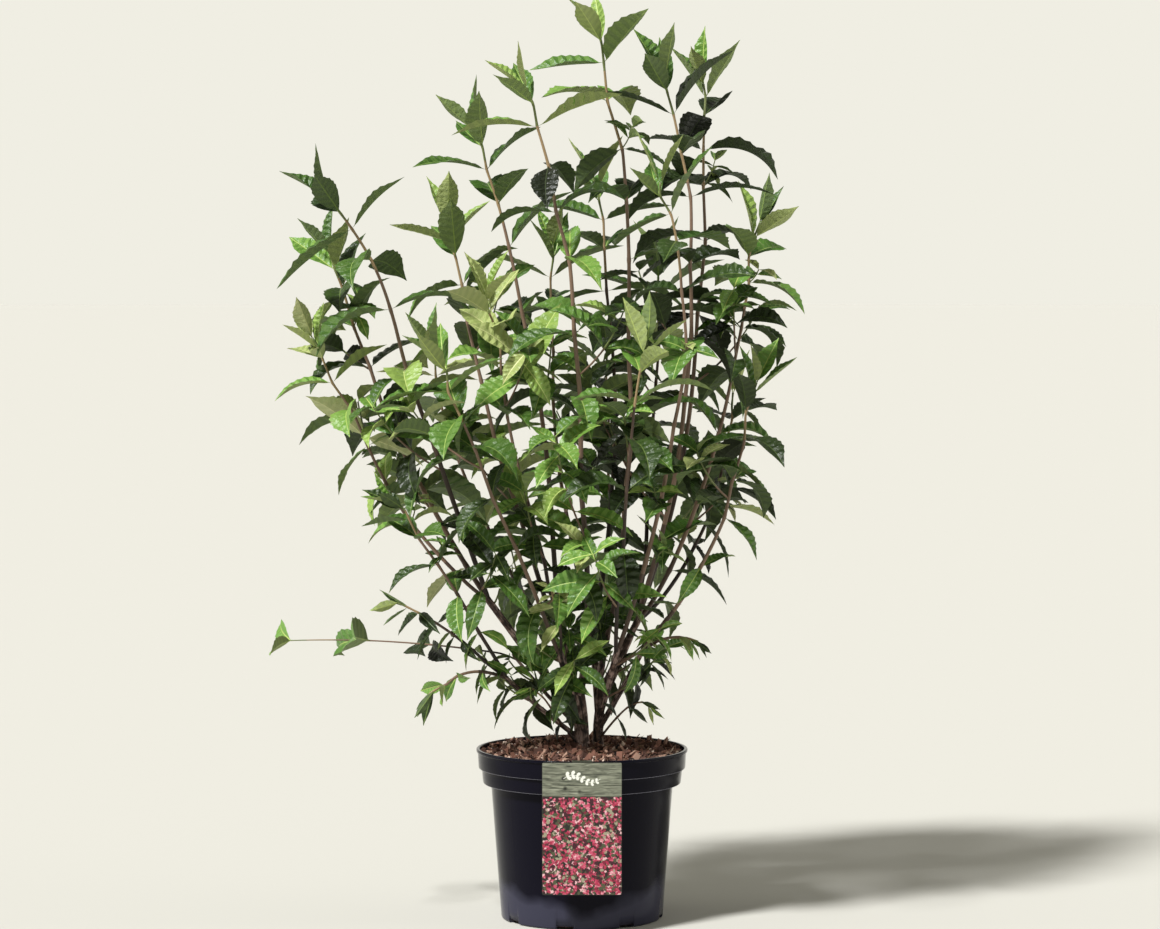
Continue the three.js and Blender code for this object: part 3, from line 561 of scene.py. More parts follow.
def leaf_points(leaves, u):
    """Points (leaf, row, column, xyz) of the upper side of many leaves, and the offset to the underside.
    The midrib starts at the root and turns down by arch * u^1.25. The half width is sin(pi b^ovate)^0.78,
    where b runs along the blade, drawn in to half at the tip. A point stands off the midrib by its share of
    the half width, is raised by the fold, the pleats and the wavy edge, and lies further forward the nearer
    it is to the edge, as the side veins do. The whole section turns by twist * u."""
    get = {key: np.array([leaf[key] for leaf in leaves], float)[:, None] for key in leaves[0]}
    length, forward, face, side = (get[key] for key in ("length", "forward", "face", "side"))
    bend = get["arch"] * u**1.25
    middle = (bend[:, 1:] + bend[:, :-1]) / 2
    zero = np.zeros((len(leaves), 1))
    steps = [np.diff(u) * length * part for part in (np.cos(middle), np.sin(middle))]
    ahead, down = (np.concatenate([zero, np.cumsum(step, 1)], 1)[..., None] for step in steps)
    sway = (get["sway"] * length * u**2)[..., None]
    rib = get["root"] + forward * ahead - face * down + side * sway
    cos, sin = np.cos(bend)[..., None], np.sin(bend)[..., None]
    along, normal = forward * cos - face * sin, face * cos + forward * sin
    twist = (get["twist"] * u)[..., None]
    over = side * np.cos(twist) + normal * np.sin(twist)
    lift = (normal * np.cos(twist) - side * np.sin(twist))[:, :, None]
    blade = np.clip((u - STALK_END) / (1 - STALK_END), 0, 1)
    vein = np.where(np.arange(len(u)) % 2, 1.0, -1.0)
    outline = np.sin(math.pi * blade ** get["ovate"]) ** 0.78 * (1 - 0.5 * ramp(blade, 0.6, 1))
    outline = outline / outline.max(1, keepdims=True) * (1 + TEETH * vein)
    half = np.maximum(get["width"] / 2 * outline, mix(STALK, TIP, u))[..., None]
    x = ACROSS * half + RIB * np.minimum(mix(*RIB_HALF, u)[:, None], half * 0.6)
    share = np.abs(x) / half
    wave = np.sin(u * 9 + get["phase"])[..., None] * share**2 * np.sign(x)
    fold = get["fold"][..., None] * np.abs(x) * (1 - 0.35 * share)
    z = fold + half * (PLEAT * vein[:, None] * PLEATED + WAVE * wave) - RIB_SUNK * (RIB != 0) * (half > 3)
    forth = SLANT * np.abs(x) * ((1 - u) ** 0.6)[:, None]
    top = rib[:, :, None] + x[..., None] * over[:, :, None] + z[..., None] * lift
    top = top + forth[..., None] * along[:, :, None]
    thick = THICKNESS + RIB_THICK * (RIB != 0) * np.minimum(1, half / 6)
    return top, -thick[..., None] * lift


def leaf_mesh(leaves, u):
    """Joins leaves into closed shells. Material 0 is the upper side, 1 the underside, and 2 the midrib. Every
    other slope of the pleats is paler, partly for its vein and partly as painted light: 3 above and 4 below."""
    top, drop = leaf_points(leaves, u)
    rows, columns, inner = len(u), len(ACROSS), UNDER[1:-1]
    under = (top + drop)[:, 1:-1, inner]
    points = np.concatenate([side.reshape(len(leaves), -1, 3) for side in (top, under)], 1)
    lower = np.arange(rows * columns).reshape(rows, columns)[:, UNDER]
    lower[1:-1, 1:-1] = rows * columns + np.arange(len(inner) * (rows - 2)).reshape(rows - 2, -1)
    faces = np.concatenate([grid_faces(rows, columns), lower.ravel()[grid_faces(rows, len(UNDER))][:, ::-1]])
    # Painted light: every other row of slopes gets the paler materials 3 and 4, partly for the vein it
    # carries.
    above = np.resize([[0, 0, 2, 0, 0], [3, 3, 2, 3, 3]], (rows - 1, 5))
    below = np.resize([[1, 2, 1], [4, 2, 4]], (rows - 1, 3))
    which = np.concatenate([above.ravel(), below.ravel()])
    return points, copies(faces, len(leaves), points.shape[1]), np.tile(which, len(leaves))


between = len(ACROSS) + len(UNDER) - 2  # faces from row to row, above and below
print("faces of a large and of a small leaf:", [between * (len(u) - 1) for u in (ROWS, FEW_ROWS)])


# %% [markdown]
# ### One shoot
# Along a shoot the leaves change with their distance from its tip. The youngest stand upright in a tuft,
# narrow and folded. Older ones spread, rise a little from the stem and then arch down, and some hang flat
# with their face outwards. The gaps between pairs lengthen too, and older nodes carry side shoots.

# %% One leaf in its place
# A trait of a leaf has a value at the shoot's tip and one on old wood, from `by` millimetres on. `vary` is
# the range of each leaf's own factor on it, and `hung` the range that a hanging leaf draws its value from
# instead.
LENGTH = dict(young=76, old=120, by=55, vary=(0.8, 1.04))  # millimetres
SPREAD = dict(young=24, old=67, by=46, vary=(0.6, 1.3), hung=(92, 118))  # degrees from the shoot
ARCH = dict(young=8, old=74, by=130, vary=(0.5, 1.4), hung=(20, 60))  # degrees from root to tip
WIDTH = dict(young=0.34, old=0.39, by=80, vary=(0.82, 1.2), hung=(0.4, 0.48))  # share of the length
FOLD = dict(young=0.65, old=0.42, by=110, vary=(0.6, 1.4))  # slope of the half blades
HUNG_FOLD = dict(FOLD, vary=(0.4, 1.4))
OVATE, HUNG_OVATE = (0.66, 0.84), 0.6  # below 1 the widest part lies towards the root
HANGING, HUNG_LENGTH = 0.15, 0.8  # share of the old leaves, and how long they are against the others
OPEN_AT = 120  # from this far behind the tip a leaf's face is turned to the light
NARROW = 0.74  # how wide the leaves at the foot of the shrub are, against those of the crown
FOOT_OF_CROWN = (300, 630)  # leaves droop and are narrow below the first height, not above the second
DROOP = 1.2  # the most that is taken off the height of a leaf's direction there
TRIES = [(0, 1), (0.4, 1), (-0.4, 1), (0, 0.85), (0.8, 0.85), (-0.8, 0.85), (0, 0.7)]  # turn and size
APART = (1, 3.5)  # how far a leaf keeps from earlier ones: in a tuft, and on old wood
AT_STEM, NEARBY = 14, 75  # points this close to the stem may touch, and those further off than 75 can't
FACE_UP, FACE_OUT, HUNG_FACE_OUT = 0.6, 0.2, 1.0  # how strongly a face turns to the light
leaves, shades = [], []  # every leaf, as the numbers that leaf_points needs, and how light it is
probes = np.zeros((0, 3))  # points of the leaves so far


def ageing(trait, age):
    """A trait's value from `young` at a shoot's tip to `old` on old wood, reached `by` that far from the
    tip."""
    return mix(trait["young"], trait["old"], ramp(age, 0, trait["by"]))


def drawn(trait, age, hanging, random):
    """A leaf's own value of a trait: its value at this age times a factor, or a hanging leaf's own range."""
    if hanging and "hung" in trait:
        return random.uniform(*trait["hung"])
    return ageing(trait, age) * random.uniform(*trait["vary"])


def add_leaf(cane, root, along, out, size, age, shade, random):
    """Adds one leaf, turned a little or made smaller where it must be, or none if it fits nowhere. Its
    forward direction is `spread` away from the shoot, and its face looks back at the shoot and up to the
    light."""
    global probes
    light = ramp(age, 0, OPEN_AT)
    low = 1 - ramp(root[2], *FOOT_OF_CROWN)
    droop = low * random.uniform(0, DROOP) * (cane != "stray")
    hanging = bool(random.random() < HANGING * light)
    spread = math.radians(drawn(SPREAD, age, hanging, random))
    arch = math.radians(drawn(ARCH, age, hanging, random))
    width = drawn(WIDTH, age, hanging, random)
    looks = dict(
        root=root, arch=arch, fold=drawn(HUNG_FOLD if hanging else FOLD, age, hanging, random),
        ovate=HUNG_OVATE if hanging else random.uniform(*OVATE), phase=random.uniform(0, 6.3),
        twist=random.uniform(-0.6, 0.6), sway=random.uniform(-0.1, 0.1),
    )
    outwards = unit(np.array([root[0], root[1], 0.0]))
    to_light = FACE_UP * UP + (HUNG_FACE_OUT if hanging else FACE_OUT) * outwards
    for swing, share in TRIES:
        away = turned(out, along, swing)
        forward = unit(along * math.cos(spread) + away * math.sin(spread) - droop * UP)
        face = along * math.sin(spread) - away * math.cos(spread) + light * to_light
        face = unit(face - forward * (face @ forward))
        length = size * share * (HUNG_LENGTH if hanging else 1)
        leaf = dict(looks, forward=forward, face=face, side=np.cross(forward, face), length=length,
                    width=length * width * mix(1, NARROW, low))
        probe = leaf_points([leaf], ROWS)[0][0][3::2][:, [0, 2, 5]].reshape(-1, 3)
        probe = probe[np.linalg.norm(probe - root, axis=1) > AT_STEM]
        if not len(probe) or not fits(probe, cane):
            continue
        near = probes[(np.abs(probes - probe.mean(0)) < NEARBY).all(1)]
        if len(near) and np.linalg.norm(near[:, None] - probe, axis=-1).min() < mix(*APART, light):
            continue
        probes = np.concatenate([probes, probe])
        leaves.append(leaf)
        # A hanging leaf faces the light and is given a green one step darker: painted shade.
        shades.append(shade - hanging)
        return


# %% A shoot's leaves and side shoots
TIP_GAPS = [0.2, 0.28, 0.45, 0.6, 0.75, 0.9]  # the first gaps from the tip down, as shares of the internode
# Painted shade: deep in the crown the leaves are given darker greens.
CORE_RADIUS, CORE_HEIGHTS, CORE_PAINTED_SHADE = 170, (950, 500), 2.2  # deep in the crown leaves are darker
SMALL_LOW, SMALLEST = (420, 720), (0.6, 1.05)  # leaves lower than this are smaller, by such factors
PALE_TIP = 70  # up to this far from its tip a shoot's leaves are paler
DARKEST_OUTSIDE = -1.3  # the darkest shade of a leaf that isn't deep in the crown
OLD_NODE, STILL_THERE = 300, 0.58  # from this far behind the tip some leaves have dropped
SPRIG_FROM, SPRIG_SHARE, SPRIG_REACH = 60, 0.05, (16, 48)
CANES_ONLY = 1.5  # twigs are thinner than this and bear no sprigs
RIPE = 60  # a side shoot grows slowly, so its leaves look this much further from its tip than they are
# Each kind of side shoot: radius at its foot and tip, gap between its pairs, bare foot and leaf scale.
SHOOTS = {"twig": (1.4, 0.8, 58, 30, 0.86), "sprig": (0.9, 0.6, 36, 6, 0.56)}
stems = {"cane": [], "twig": [], "sprig": []}  # every shoot's line, radius at foot and tip, and node places


def nodes_of(length, internode, bare, random, gaps=TIP_GAPS):
    """Distances of a shoot's nodes back from its tip, up to its bare foot. No two gaps are quite alike."""
    gaps = np.array([*gaps, *[1.0] * 20])
    gaps = gaps * internode * random.uniform(0.8, 1.2, len(gaps))
    nodes = np.concatenate([[0], np.cumsum(gaps)])
    return nodes[nodes < length - bare]


def leaf_up(cane, line, nodes, scale, shade, random, thick, ripe=0):
    """Leafs one shoot: a pair at each node, a quarter turn from the last. A pair shares its shade. The
    youngest are paler, and those deep in the crown are given darker greens as painted shade. On a cane some
    leaves have a short sprig in their axil."""
    length = lengths(line)[-1]
    turn = random.uniform(0, math.pi)
    for back in nodes:
        s = max(2.0, length - back)
        root, along = at(line, s), heading(line, s)
        across = np.array([math.cos(turn), math.sin(turn), 0.0])
        across = unit(across - along * (across @ along))
        # Painted shade: the deeper in the crown, the darker the green.
        depth = ramp(math.hypot(root[0], root[1]), CORE_RADIUS, 0) * ramp(root[2], *CORE_HEIGHTS)
        small = mix(random.uniform(*SMALLEST), 1, ramp(root[2], *SMALL_LOW))
        pair_shade = shade + ramp(back, PALE_TIP, 0) + random.normal(0.1, 1.4)
        pair_shade = max(pair_shade, DARKEST_OUTSIDE) - CORE_PAINTED_SHADE * depth
        for sign in (1, -1):
            out = turned(across * sign, along, random.uniform(-0.35, 0.35))
            size = ageing(LENGTH, back) * scale * random.uniform(*LENGTH["vary"]) * small
            if back < OLD_NODE or random.random() < STILL_THERE:
                add_leaf(cane, root + out * thick * 0.6, along, out, size, back + ripe, pair_shade, random)
            if thick > CANES_ONLY and back > SPRIG_FROM and random.random() < SPRIG_SHARE:
                reach = random.uniform(*SPRIG_REACH)
                add_shoot(cane, root, along, out, reach, "sprig", pair_shade + 0.5, random)
        turn += math.pi / 2 + random.uniform(-0.3, 0.3)


def add_shoot(cane, root, along, out, reach, kind, shade, random):
    """Adds a leafy side shoot that leaves the stem sideways and turns up. Its bend and its tip lie so many
    shares of its reach out, along the stem and up. Returns whether it had room."""
    foot, tip, gap, bare, scale = SHOOTS[kind]
    bend = root + reach * (0.42 * out + 0.28 * along)
    line = bow(root, bend, bend + reach * (0.2 * out + 0.2 * along + 0.24 * UP), 25)
    if not fits(line[10:], cane):
        return False
    nodes = nodes_of(lengths(line)[-1], gap, bare, random)
    stems[kind].append((line, foot, tip, nodes))
    leaf_up(cane, line, nodes, scale * random.uniform(0.85, 1.15), shade, random, foot * 0.6, RIPE)
    return True


def add_twig(cane, line, s, reach, shade, random):
    """Adds a twig at the first of six headings and three lengths that has room."""
    root, along = at(line, s), heading(line, s)
    turn = random.uniform(0, TURN)
    for share in (1, 0.75, 0.55):
        for k in range(6):
            out = np.array([math.cos(turn + k * math.pi / 3), math.sin(turn + k * math.pi / 3), 0.0])
            if add_shoot(cane, root, along, out, reach * share, "twig", shade, random):
                return


# %% [markdown]
# ### The whole crown
# Each cane starts its own row of random numbers, so a change to one leaves the others nearly as they were.
# The upper crown has long gaps with single pairs of leaves, and the twigs crowd below it.

# %% Growing canes and boughs
SEED = 9
INTERNODE, BARE_FOOT = (60, 102), 34  # on thin and thick canes, and how much of the foot has no leaves
CANE_FOOT, CANE_TIP = (3.4, 0.8), (1.4, 0.4)  # the radius is this much times the thickness to this power
TWIGGY_BELOW = 760  # no twigs start above this height
TWIG_GAP = 215  # along a cane, between the feet of its twigs
TWIGGY_FROM = 200  # the length from which a cane bears twigs
FIRST_TWIG, LAST_TWIG = 170, 40  # the first keeps this far from the tip, and the last from the foot
TWIG_REACH = (80, 165)  # near the tip, and from 600 mm behind it
SLENDER, SHORT = 0.65, 0.74  # how large the leaves of the thinnest and of the shortest canes are
KINK = 2.6  # millimetres that a node stands off the cane's smooth line, as a standard deviation


def kinked(line, nodes, random):
    """The line moved a few millimetres aside at each node, and in proportion between the nodes: a cane
    turns a little wherever a pair of leaves has grown. Its foot and its tip stay."""
    s = lengths(line)
    places = np.concatenate([[0], s[-1] - nodes[:0:-1], [s[-1]]])
    aside = random.normal(0, KINK, (len(places), 2))
    aside[[0, -1]] = 0
    moved = [np.interp(s, places, aside[:, k]) for k in range(2)]
    return line + np.stack([*moved, np.zeros(len(s))], -1)


def grow_cane(name, thick, shade, random):
    """Leafs a cane from its tip down, and sets twigs on it below the open part of the crown. The stray is an
    old, thin cane with neither tuft nor twigs, and its leaves are large and far apart."""
    stray = name == "stray"
    if stray:
        internode, gaps, fine, slender, stand_off, ripe = 96, [], 0.6, 1.25, 0.5, RIPE
    else:
        internode, slender = mix(*INTERNODE, ramp(thick, 0.6, 1)), mix(SLENDER, 1, ramp(thick, 0.5, 1))
        gaps, fine, stand_off, ripe = TIP_GAPS, 1, 2, 0
    line = cane_lines[name]
    nodes = nodes_of(lengths(line)[-1], internode, BARE_FOOT, random, gaps)
    line = kinked(line, nodes, random)
    length = lengths(line)[-1]
    foot, tip = (fine * radius * thick**power for radius, power in (CANE_FOOT, CANE_TIP))
    stems["cane"].append((line, foot, tip, nodes))
    scale = slender * mix(SHORT, 1, ramp(length, 60, 260))
    leaf_up(name, line, nodes, scale, shade, random, stand_off, ripe)
    if length < TWIGGY_FROM or stray:
        return
    for back in np.arange(FIRST_TWIG, length - LAST_TWIG, TWIG_GAP) + random.uniform(-20, 20):
        if at(line, length - back)[2] < TWIGGY_BELOW:
            twig = mix(*TWIG_REACH, min(1, back / 600)) * random.uniform(0.8, 1.2)
            add_twig(name, line, length - back, twig, shade, random)


def grow_bough(name, random):
    """Sets short shoots on the bare wood every 50 mm, brightest in front, where the light falls in."""
    line = bough_lines[name]
    for s in np.arange(45, lengths(line)[-1], 50):
        shade = mix(1.8, 0, ramp(at(line, s)[1], -60, 30))
        add_twig(None, line, s + random.uniform(-8, 8), random.uniform(35, 100), shade, random)


# %% Grow it
for k, (name, row) in enumerate(CANES.items()):
    grow_cane(name, *row[4:], np.random.default_rng([SEED, k]))
for k, name in enumerate(BOUGHS):
    grow_bough(name, np.random.default_rng([SEED, len(CANES) + k]))
print(len(leaves), "leaves on", {kind: len(some) for kind, some in stems.items()})

# %% [markdown]
# ### Greens
# A leaf's green comes from its chlorophyll and its age: the oldest leaves are deep blue-green, and the
# youngest are lime. The greens also carry painted shade: the inner leaves of the crown are given darker
# ones. The underside is felted, so it is paler, greyer and matt, and the midrib is yellowish.
# An image texture would carry all this, but here each pair takes one of eight plain greens, which an export
# keeps exactly. The upper side's cuticle is waxy but not polished, so its roughness is 0.4.

# %% Leaf materials
# Name, upper side, underside and midrib, from the darkest to the palest.
GREENS = [
    ("shaded", "0f1507", "252d17", "303c1e"),
    ("deep", "1e2b10", "364326", "4c602e"),
    ("dark", "263b13", "465634", "667a3c"),
    ("green", "38581b", "5d6f45", "839a50"),
    ("fresh", "4c722b", "70824f", "9bb05c"),
    ("bright", "648c39", "86935b", "b0c068"),
    ("lime", "7f9c48", "9aa66a", "c0cc7c"),
    ("pale", "9caa66", "a9b07c", "cecf94"),
]
MIDDLE_SHADE = 2.6  # where shade 0 lies in the list of greens
WAXY, FELTED = 0.4, 0.7  # roughness
# The slopes with a vein are also paler as painted light on one side of each pleat.
VEIN_AND_PAINTED_LIGHT, VEIN_AND_PAINTED_LIGHT_UNDER = 0.2, 0.24  # how much of the midrib's colour a slope with a vein has


def crinkled(name, code, roughness):
    """A leaf's skin: the net of small veins sinks in, which leaves cushions of about 5 mm between them."""
    made, tree, shader = material(name, code, roughness, Specular_IOR_Level=0.4)
    place = add(tree, "TexCoord").outputs["Object"]
    cushions = add(tree, "TexNoise", {"Vector": place, "Scale": repeats(5), "Detail": 2.0})
    relief = add(tree, "Bump", {"Height": cushions.outputs["Fac"], "Strength": 0.8, "Distance": 0.0021})
    feed(tree, shader, Normal=relief.outputs["Normal"])
    return made


bins = np.clip(np.round(np.array(shades) + MIDDLE_SHADE), 0, len(GREENS) - 1).astype(int)
small = np.array([leaf["length"] for leaf in leaves]) < SMALL_LEAF
for k, (green, upper, under, rib) in enumerate(GREENS):
    coats = [
        crinkled(f"waxy_leaf_{green}", upper, WAXY),
        crinkled(f"felted_underside_{green}", under, FELTED),
        material(f"midrib_{green}", rib, 0.5)[0],
        crinkled(f"vein_and_painted_light_leaf_{green}", blended(upper, rib, VEIN_AND_PAINTED_LIGHT), WAXY),
        crinkled(f"vein_and_painted_light_underside_{green}", blended(under, rib, VEIN_AND_PAINTED_LIGHT_UNDER), FELTED),
    ]
    own = [([leaf for leaf, pick in zip(leaves, (bins == k) & (small == few)) if pick], rows)
           for few, rows in ((False, ROWS), (True, FEW_ROWS))]
    points, faces, which = joined([leaf_mesh(some, rows) for some, rows in own if some])
    piece(f"leaves_{green}", points, faces, coats, which, smooth_shading=False)

# %% [markdown]
# ### Stems
# The canes are smooth and round and thickened at each node. Their skin is green at the tip, tan and rosy
# behind it, and browner and less glossy towards the foot, sooner on an old cane than on a young one.
# A curve with a bevel would be quick, but a tube worked out ring by ring can swell at the nodes.

# %% Stem tubes
def tube(line, radius, sides):
    """A ring of points round each point of a line, anticlockwise seen from the line's end. One direction
    across the line is square to it and to X or Y, whichever it follows least, and the other is square to
    both. `radius` is one value for each ring, or for each point."""
    along = unit(np.gradient(line, axis=0))
    least = np.eye(3)[np.argmin(np.abs(line[-1] - line[0])[:2])]
    across = unit(np.cross(least, along))
    other = np.cross(along, across)
    a = around(sides)
    ring = np.cos(a)[:, None] * across[:, None] + np.sin(a)[:, None] * other[:, None]
    radius = np.broadcast_to(np.asarray(radius, float).reshape(len(line), -1, 1), (len(line), sides, 1))
    return line[:, None] + ring * radius


SIDES = {"cane": (10, 5), "twig": (8, 8), "sprig": (6, 8)}  # sides of the tube, and millimetres between rings
WOOD = [  # from the foot of a cane to its tip: name, colour and roughness
    ("brown_cane_bark", "281e18", 0.66),
    ("umber_cane_bark", "382a22", 0.6),
    ("russet_cane_bark", "4e3c30", 0.55),
    ("rosy_cane_bark", "7a6250", 0.5),
    ("tan_young_bark", "917a58", 0.48),
    ("green_shoot_skin", "6c7644", 0.45),
]
ROSY, TAN, GREEN = 3, 4, 5
WOOD_LIMITS = [-0.82, -0.66, -0.5, -0.2, -0.07]  # where one passes into the next, as shares back from the tip
SWELLING, SWELLING_REACH = 0.25, 3.5  # a node is a quarter thicker, over a few millimetres
woods = [material(*row)[0] for row in WOOD]
random = np.random.default_rng(SEED)
for kind, (sides, spacing) in SIDES.items():
    parts = []
    for line, thick, thin, nodes in stems[kind]:
        length = lengths(line)[-1]
        s = np.linspace(0, length, max(4, int(length / spacing)))
        swell = np.exp(-(((s - (length - nodes[:, None])) / SWELLING_REACH) ** 2)).sum(0)
        radius = mix(thick, thin, (s / length) ** 1.4) * (1 + SWELLING * swell)
        back = length - s[:-1]
        if kind == "cane":
            younger = random.choice([-1, 0, 0, 1, 2])  # a young cane is still rosy near its foot
            which = np.digitize(-back / length, WOOD_LIMITS)
            which = np.where(which < TAN, np.clip(which + younger, 0, ROSY), which)
        else:
            which = np.where((back > 60) & (kind == "twig"), ROSY, GREEN)
        which = np.concatenate([np.repeat(which, sides), np.repeat([which[0], GREEN], sides // 2 - 1)])
        parts.append((tube(at(line, s), radius, sides), tube_faces(len(s), sides), which))
    replaced = [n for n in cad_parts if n.startswith("foliage_")] if kind == "cane" else []
    points, faces, which = joined(parts)
    piece(kind + "s", points, faces, woods, which, replaced)

# %% [markdown]
# ## Trunks and boughs
# Old weigela wood has grey-brown bark that splits into long shallow plates. A bump map would not change the
# outline, so the relief is real: the tube's radius is lowered along wandering fissures. The bark is dark in
# the fissures, rosy where flakes have come off, and matt all over.

# %% Bark relief
FISSURES, LUMPS = 3.2, 1.3  # radii of the cylinders that the noises are read on: the larger, the finer
FISSURE_WIDTH, LUMP_SHARE = 0.34, 0.16


def ripple(x, y, seed, octaves=4):
    """Smooth pseudo-noise from 0 to 1: a sum of sine products with random turns and phases, each finer octave
    half as strong."""
    random = np.random.default_rng(seed)
    total, weight = np.zeros(np.broadcast(x, y).shape), 0
    for k in range(octaves):
        for _ in range(3):
            a, p, q = random.uniform(0, TURN, 3)
            f = 2**k
            one_way = np.sin(f * (x * math.cos(a) + y * math.sin(a)) + p)
            other_way = np.sin(f * (x * math.sin(a) - y * math.cos(a)) + q)
            total = total + 0.5**k * one_way * other_way
            weight += 0.5**k
    return 0.5 + 1.2 * total / weight


def carried_on(line):
    """The line, 3 mm longer: its end is hidden among the limbs that grow out of it."""
    return np.concatenate([line, line[-1:] + unit(line[-1:] - line[-3:-2]) * 3])


def bark_limb(name, line, radius, sides, spacing, depth, seed):
    """Tube with relief. The noise is read on a cylinder, so it closes round the limb: x and y are the
    cosine and sine of the angle, and the length is drawn out, which makes plates longer than wide."""
    length = lengths(line)[-1]
    s = np.linspace(0, length, max(8, int(length / spacing)))[:, None]
    r = np.interp(s, lengths(line), radius)
    a = around(sides)
    cracks = ripple(FISSURES * np.cos(a) + s / 26, FISSURES * np.sin(a) - s / 31, seed)
    crack = 1 - ramp(np.abs(cracks - 0.5) * 2, 0, FISSURE_WIDTH)
    lumps = ripple(LUMPS * np.cos(a) + s / 40, LUMPS * np.sin(a), seed + 7, 2) - 0.5
    points = tube(at(line, s[:, 0]), r * (1 + LUMP_SHARE * lumps) - depth * crack, sides)
    made = piece(f"{name}_bark", points, tube_faces(len(s), sides), [bark], stands_for=[name])
    values = crack.ravel().astype(np.float32)
    made.data.attributes.new("fissure", "FLOAT", "POINT").data.foreach_set("value", values)


bark, tree, shader = material("weathered_shrub_bark", "54423a", 0.86)
place = add(tree, "TexCoord").outputs["Object"]
drawn_out = add(tree, "Mapping", {"Vector": place, "Scale": (1, 1, 0.22)})
plates = add(tree, "TexNoise", {"Vector": drawn_out.outputs["Vector"], "Scale": repeats(4.35), "Detail": 6.0})
patches = add(tree, "TexNoise", {"Vector": place, "Scale": repeats(13.3), "Detail": 3.0})
tone = add(tree, "ValToRGB", {"Fac": plates.outputs["Fac"]},
           stops=[(0.3, "241b18"), (0.75, "8f7568"), (0.5, "4c3a34"), (0.62, "6b564c")])
bare = add(tree, "MapRange", {"Value": patches.outputs["Fac"], 1: 0.47, 2: 0.57, 3: 0.0, 4: 0.8})
rosy = add(tree, "Mix", {"Factor": bare.outputs["Result"], 6: tone.outputs["Color"], 7: linear("b39a91")},
           data_type="RGBA")
crack = add(tree, "Attribute", attribute_name="fissure")
dark = add(tree, "Mix", {"Factor": crack.outputs["Fac"], 6: rosy.outputs[2], 7: linear("181110")},
           data_type="RGBA")
relief = add(tree, "Bump", {"Height": plates.outputs["Fac"], "Strength": 0.6, "Distance": 0.0012})
feed(tree, shader, Base_Color=dark.outputs[2], Normal=relief.outputs["Normal"])

for k, (name, row) in enumerate(TRUNKS.items()):
    line = trunk_lines[name]
    line = carried_on(np.concatenate([line[:1] - UP * 7, line]))  # 7 mm down into the compost
    s = lengths(line)
    flared, low, high = row["radii"]
    radius = mix(low, high, s / s[-1]) + (flared - low) * np.clip(1 - s / FLARE_HEIGHT, 0, 1) ** 2
    radius[-1] *= 0.6
    bark_limb(f"trunk_{name}", line, radius, sides=72, spacing=1.2, depth=0.9, seed=11 + k)
for k, (name, (*_, radii)) in enumerate(BOUGHS.items()):
    line = carried_on(bough_lines[name])
    s = lengths(line)
    radius = mix(*radii, s / s[-1])
    radius[-1] *= 0.55
    bark_limb(f"bough_{name}", line, radius, sides=28, spacing=1.8, depth=0.35, seed=40 + k)

# %% [markdown]
# ## Bark compost
# The pot is filled with potting mix topped with shredded bark. Scattering instances would be the usual way.
# Instances are dropped on export, so a few thousand small six-sided chips are worked out as one array of
# corners: a unit box, stretched, bent, turned and laid on the ground. Crumbs and torn fibres scatter the
# light every way, so all of it is nearly fully rough.

# %% The ground under the chips
MOUND, MOUND_EDGE, HUMPS = 6, (40, 130), 3.2  # highest within the first radius, lowest beyond the second
SOIL_COLUMNS = 150
# The compost follows the inside of the pot down from its top: radius and height.
SOIL_SIDES = [(134.1, 213), (134, 203), (128, 182.5), (117.8, 182.5), (104.2, 3), (0.5, 3)]


def ground(x, y):
    """Height of the soil: a mound of 6 mm in the middle, and humps of about 3 mm."""
    mound = mix(SOIL_TOP, SOIL_TOP - MOUND, ramp(np.hypot(x, y), *MOUND_EDGE))
    return mound + HUMPS * (ripple(x / 16, y / 16, 3) - 0.5)


rings = np.concatenate([[0.5], np.linspace(4, 134, 53)])
a = around(SOIL_COLUMNS)
x, y = rings[:, None] * np.cos(a), rings[:, None] * np.sin(a)
top = np.stack([x, y, ground(x, y)], -1)
under = [np.stack([r * np.cos(a), r * np.sin(a), np.full(len(a), z)], -1) for r, z in SOIL_SIDES]
soil_points = np.concatenate([top, under])
soil_faces = tube_faces(*soil_points.shape[:2])[:, ::-1]  # the rings run outwards and down, so they face in
compost, tree, shader = material("damp_bark_compost", "2c1b13", 0.95)
place = add(tree, "TexCoord").outputs["Object"]
crumbs = add(tree, "TexVoronoi", {"Vector": place, "Scale": repeats(3.03)}).outputs["Distance"]
tone = add(tree, "ValToRGB", {"Fac": crumbs}, stops=[(0.0, "4a2c1d"), (0.8, "120b08")])
relief = add(tree, "Bump", {"Height": crumbs, "Strength": 1.0, "Distance": 0.002}, invert=True)
feed(tree, shader, Base_Color=tone.outputs["Color"], Normal=relief.outputs["Normal"])
piece("compost", soil_points, soil_faces, [compost], stands_for=["soil"])

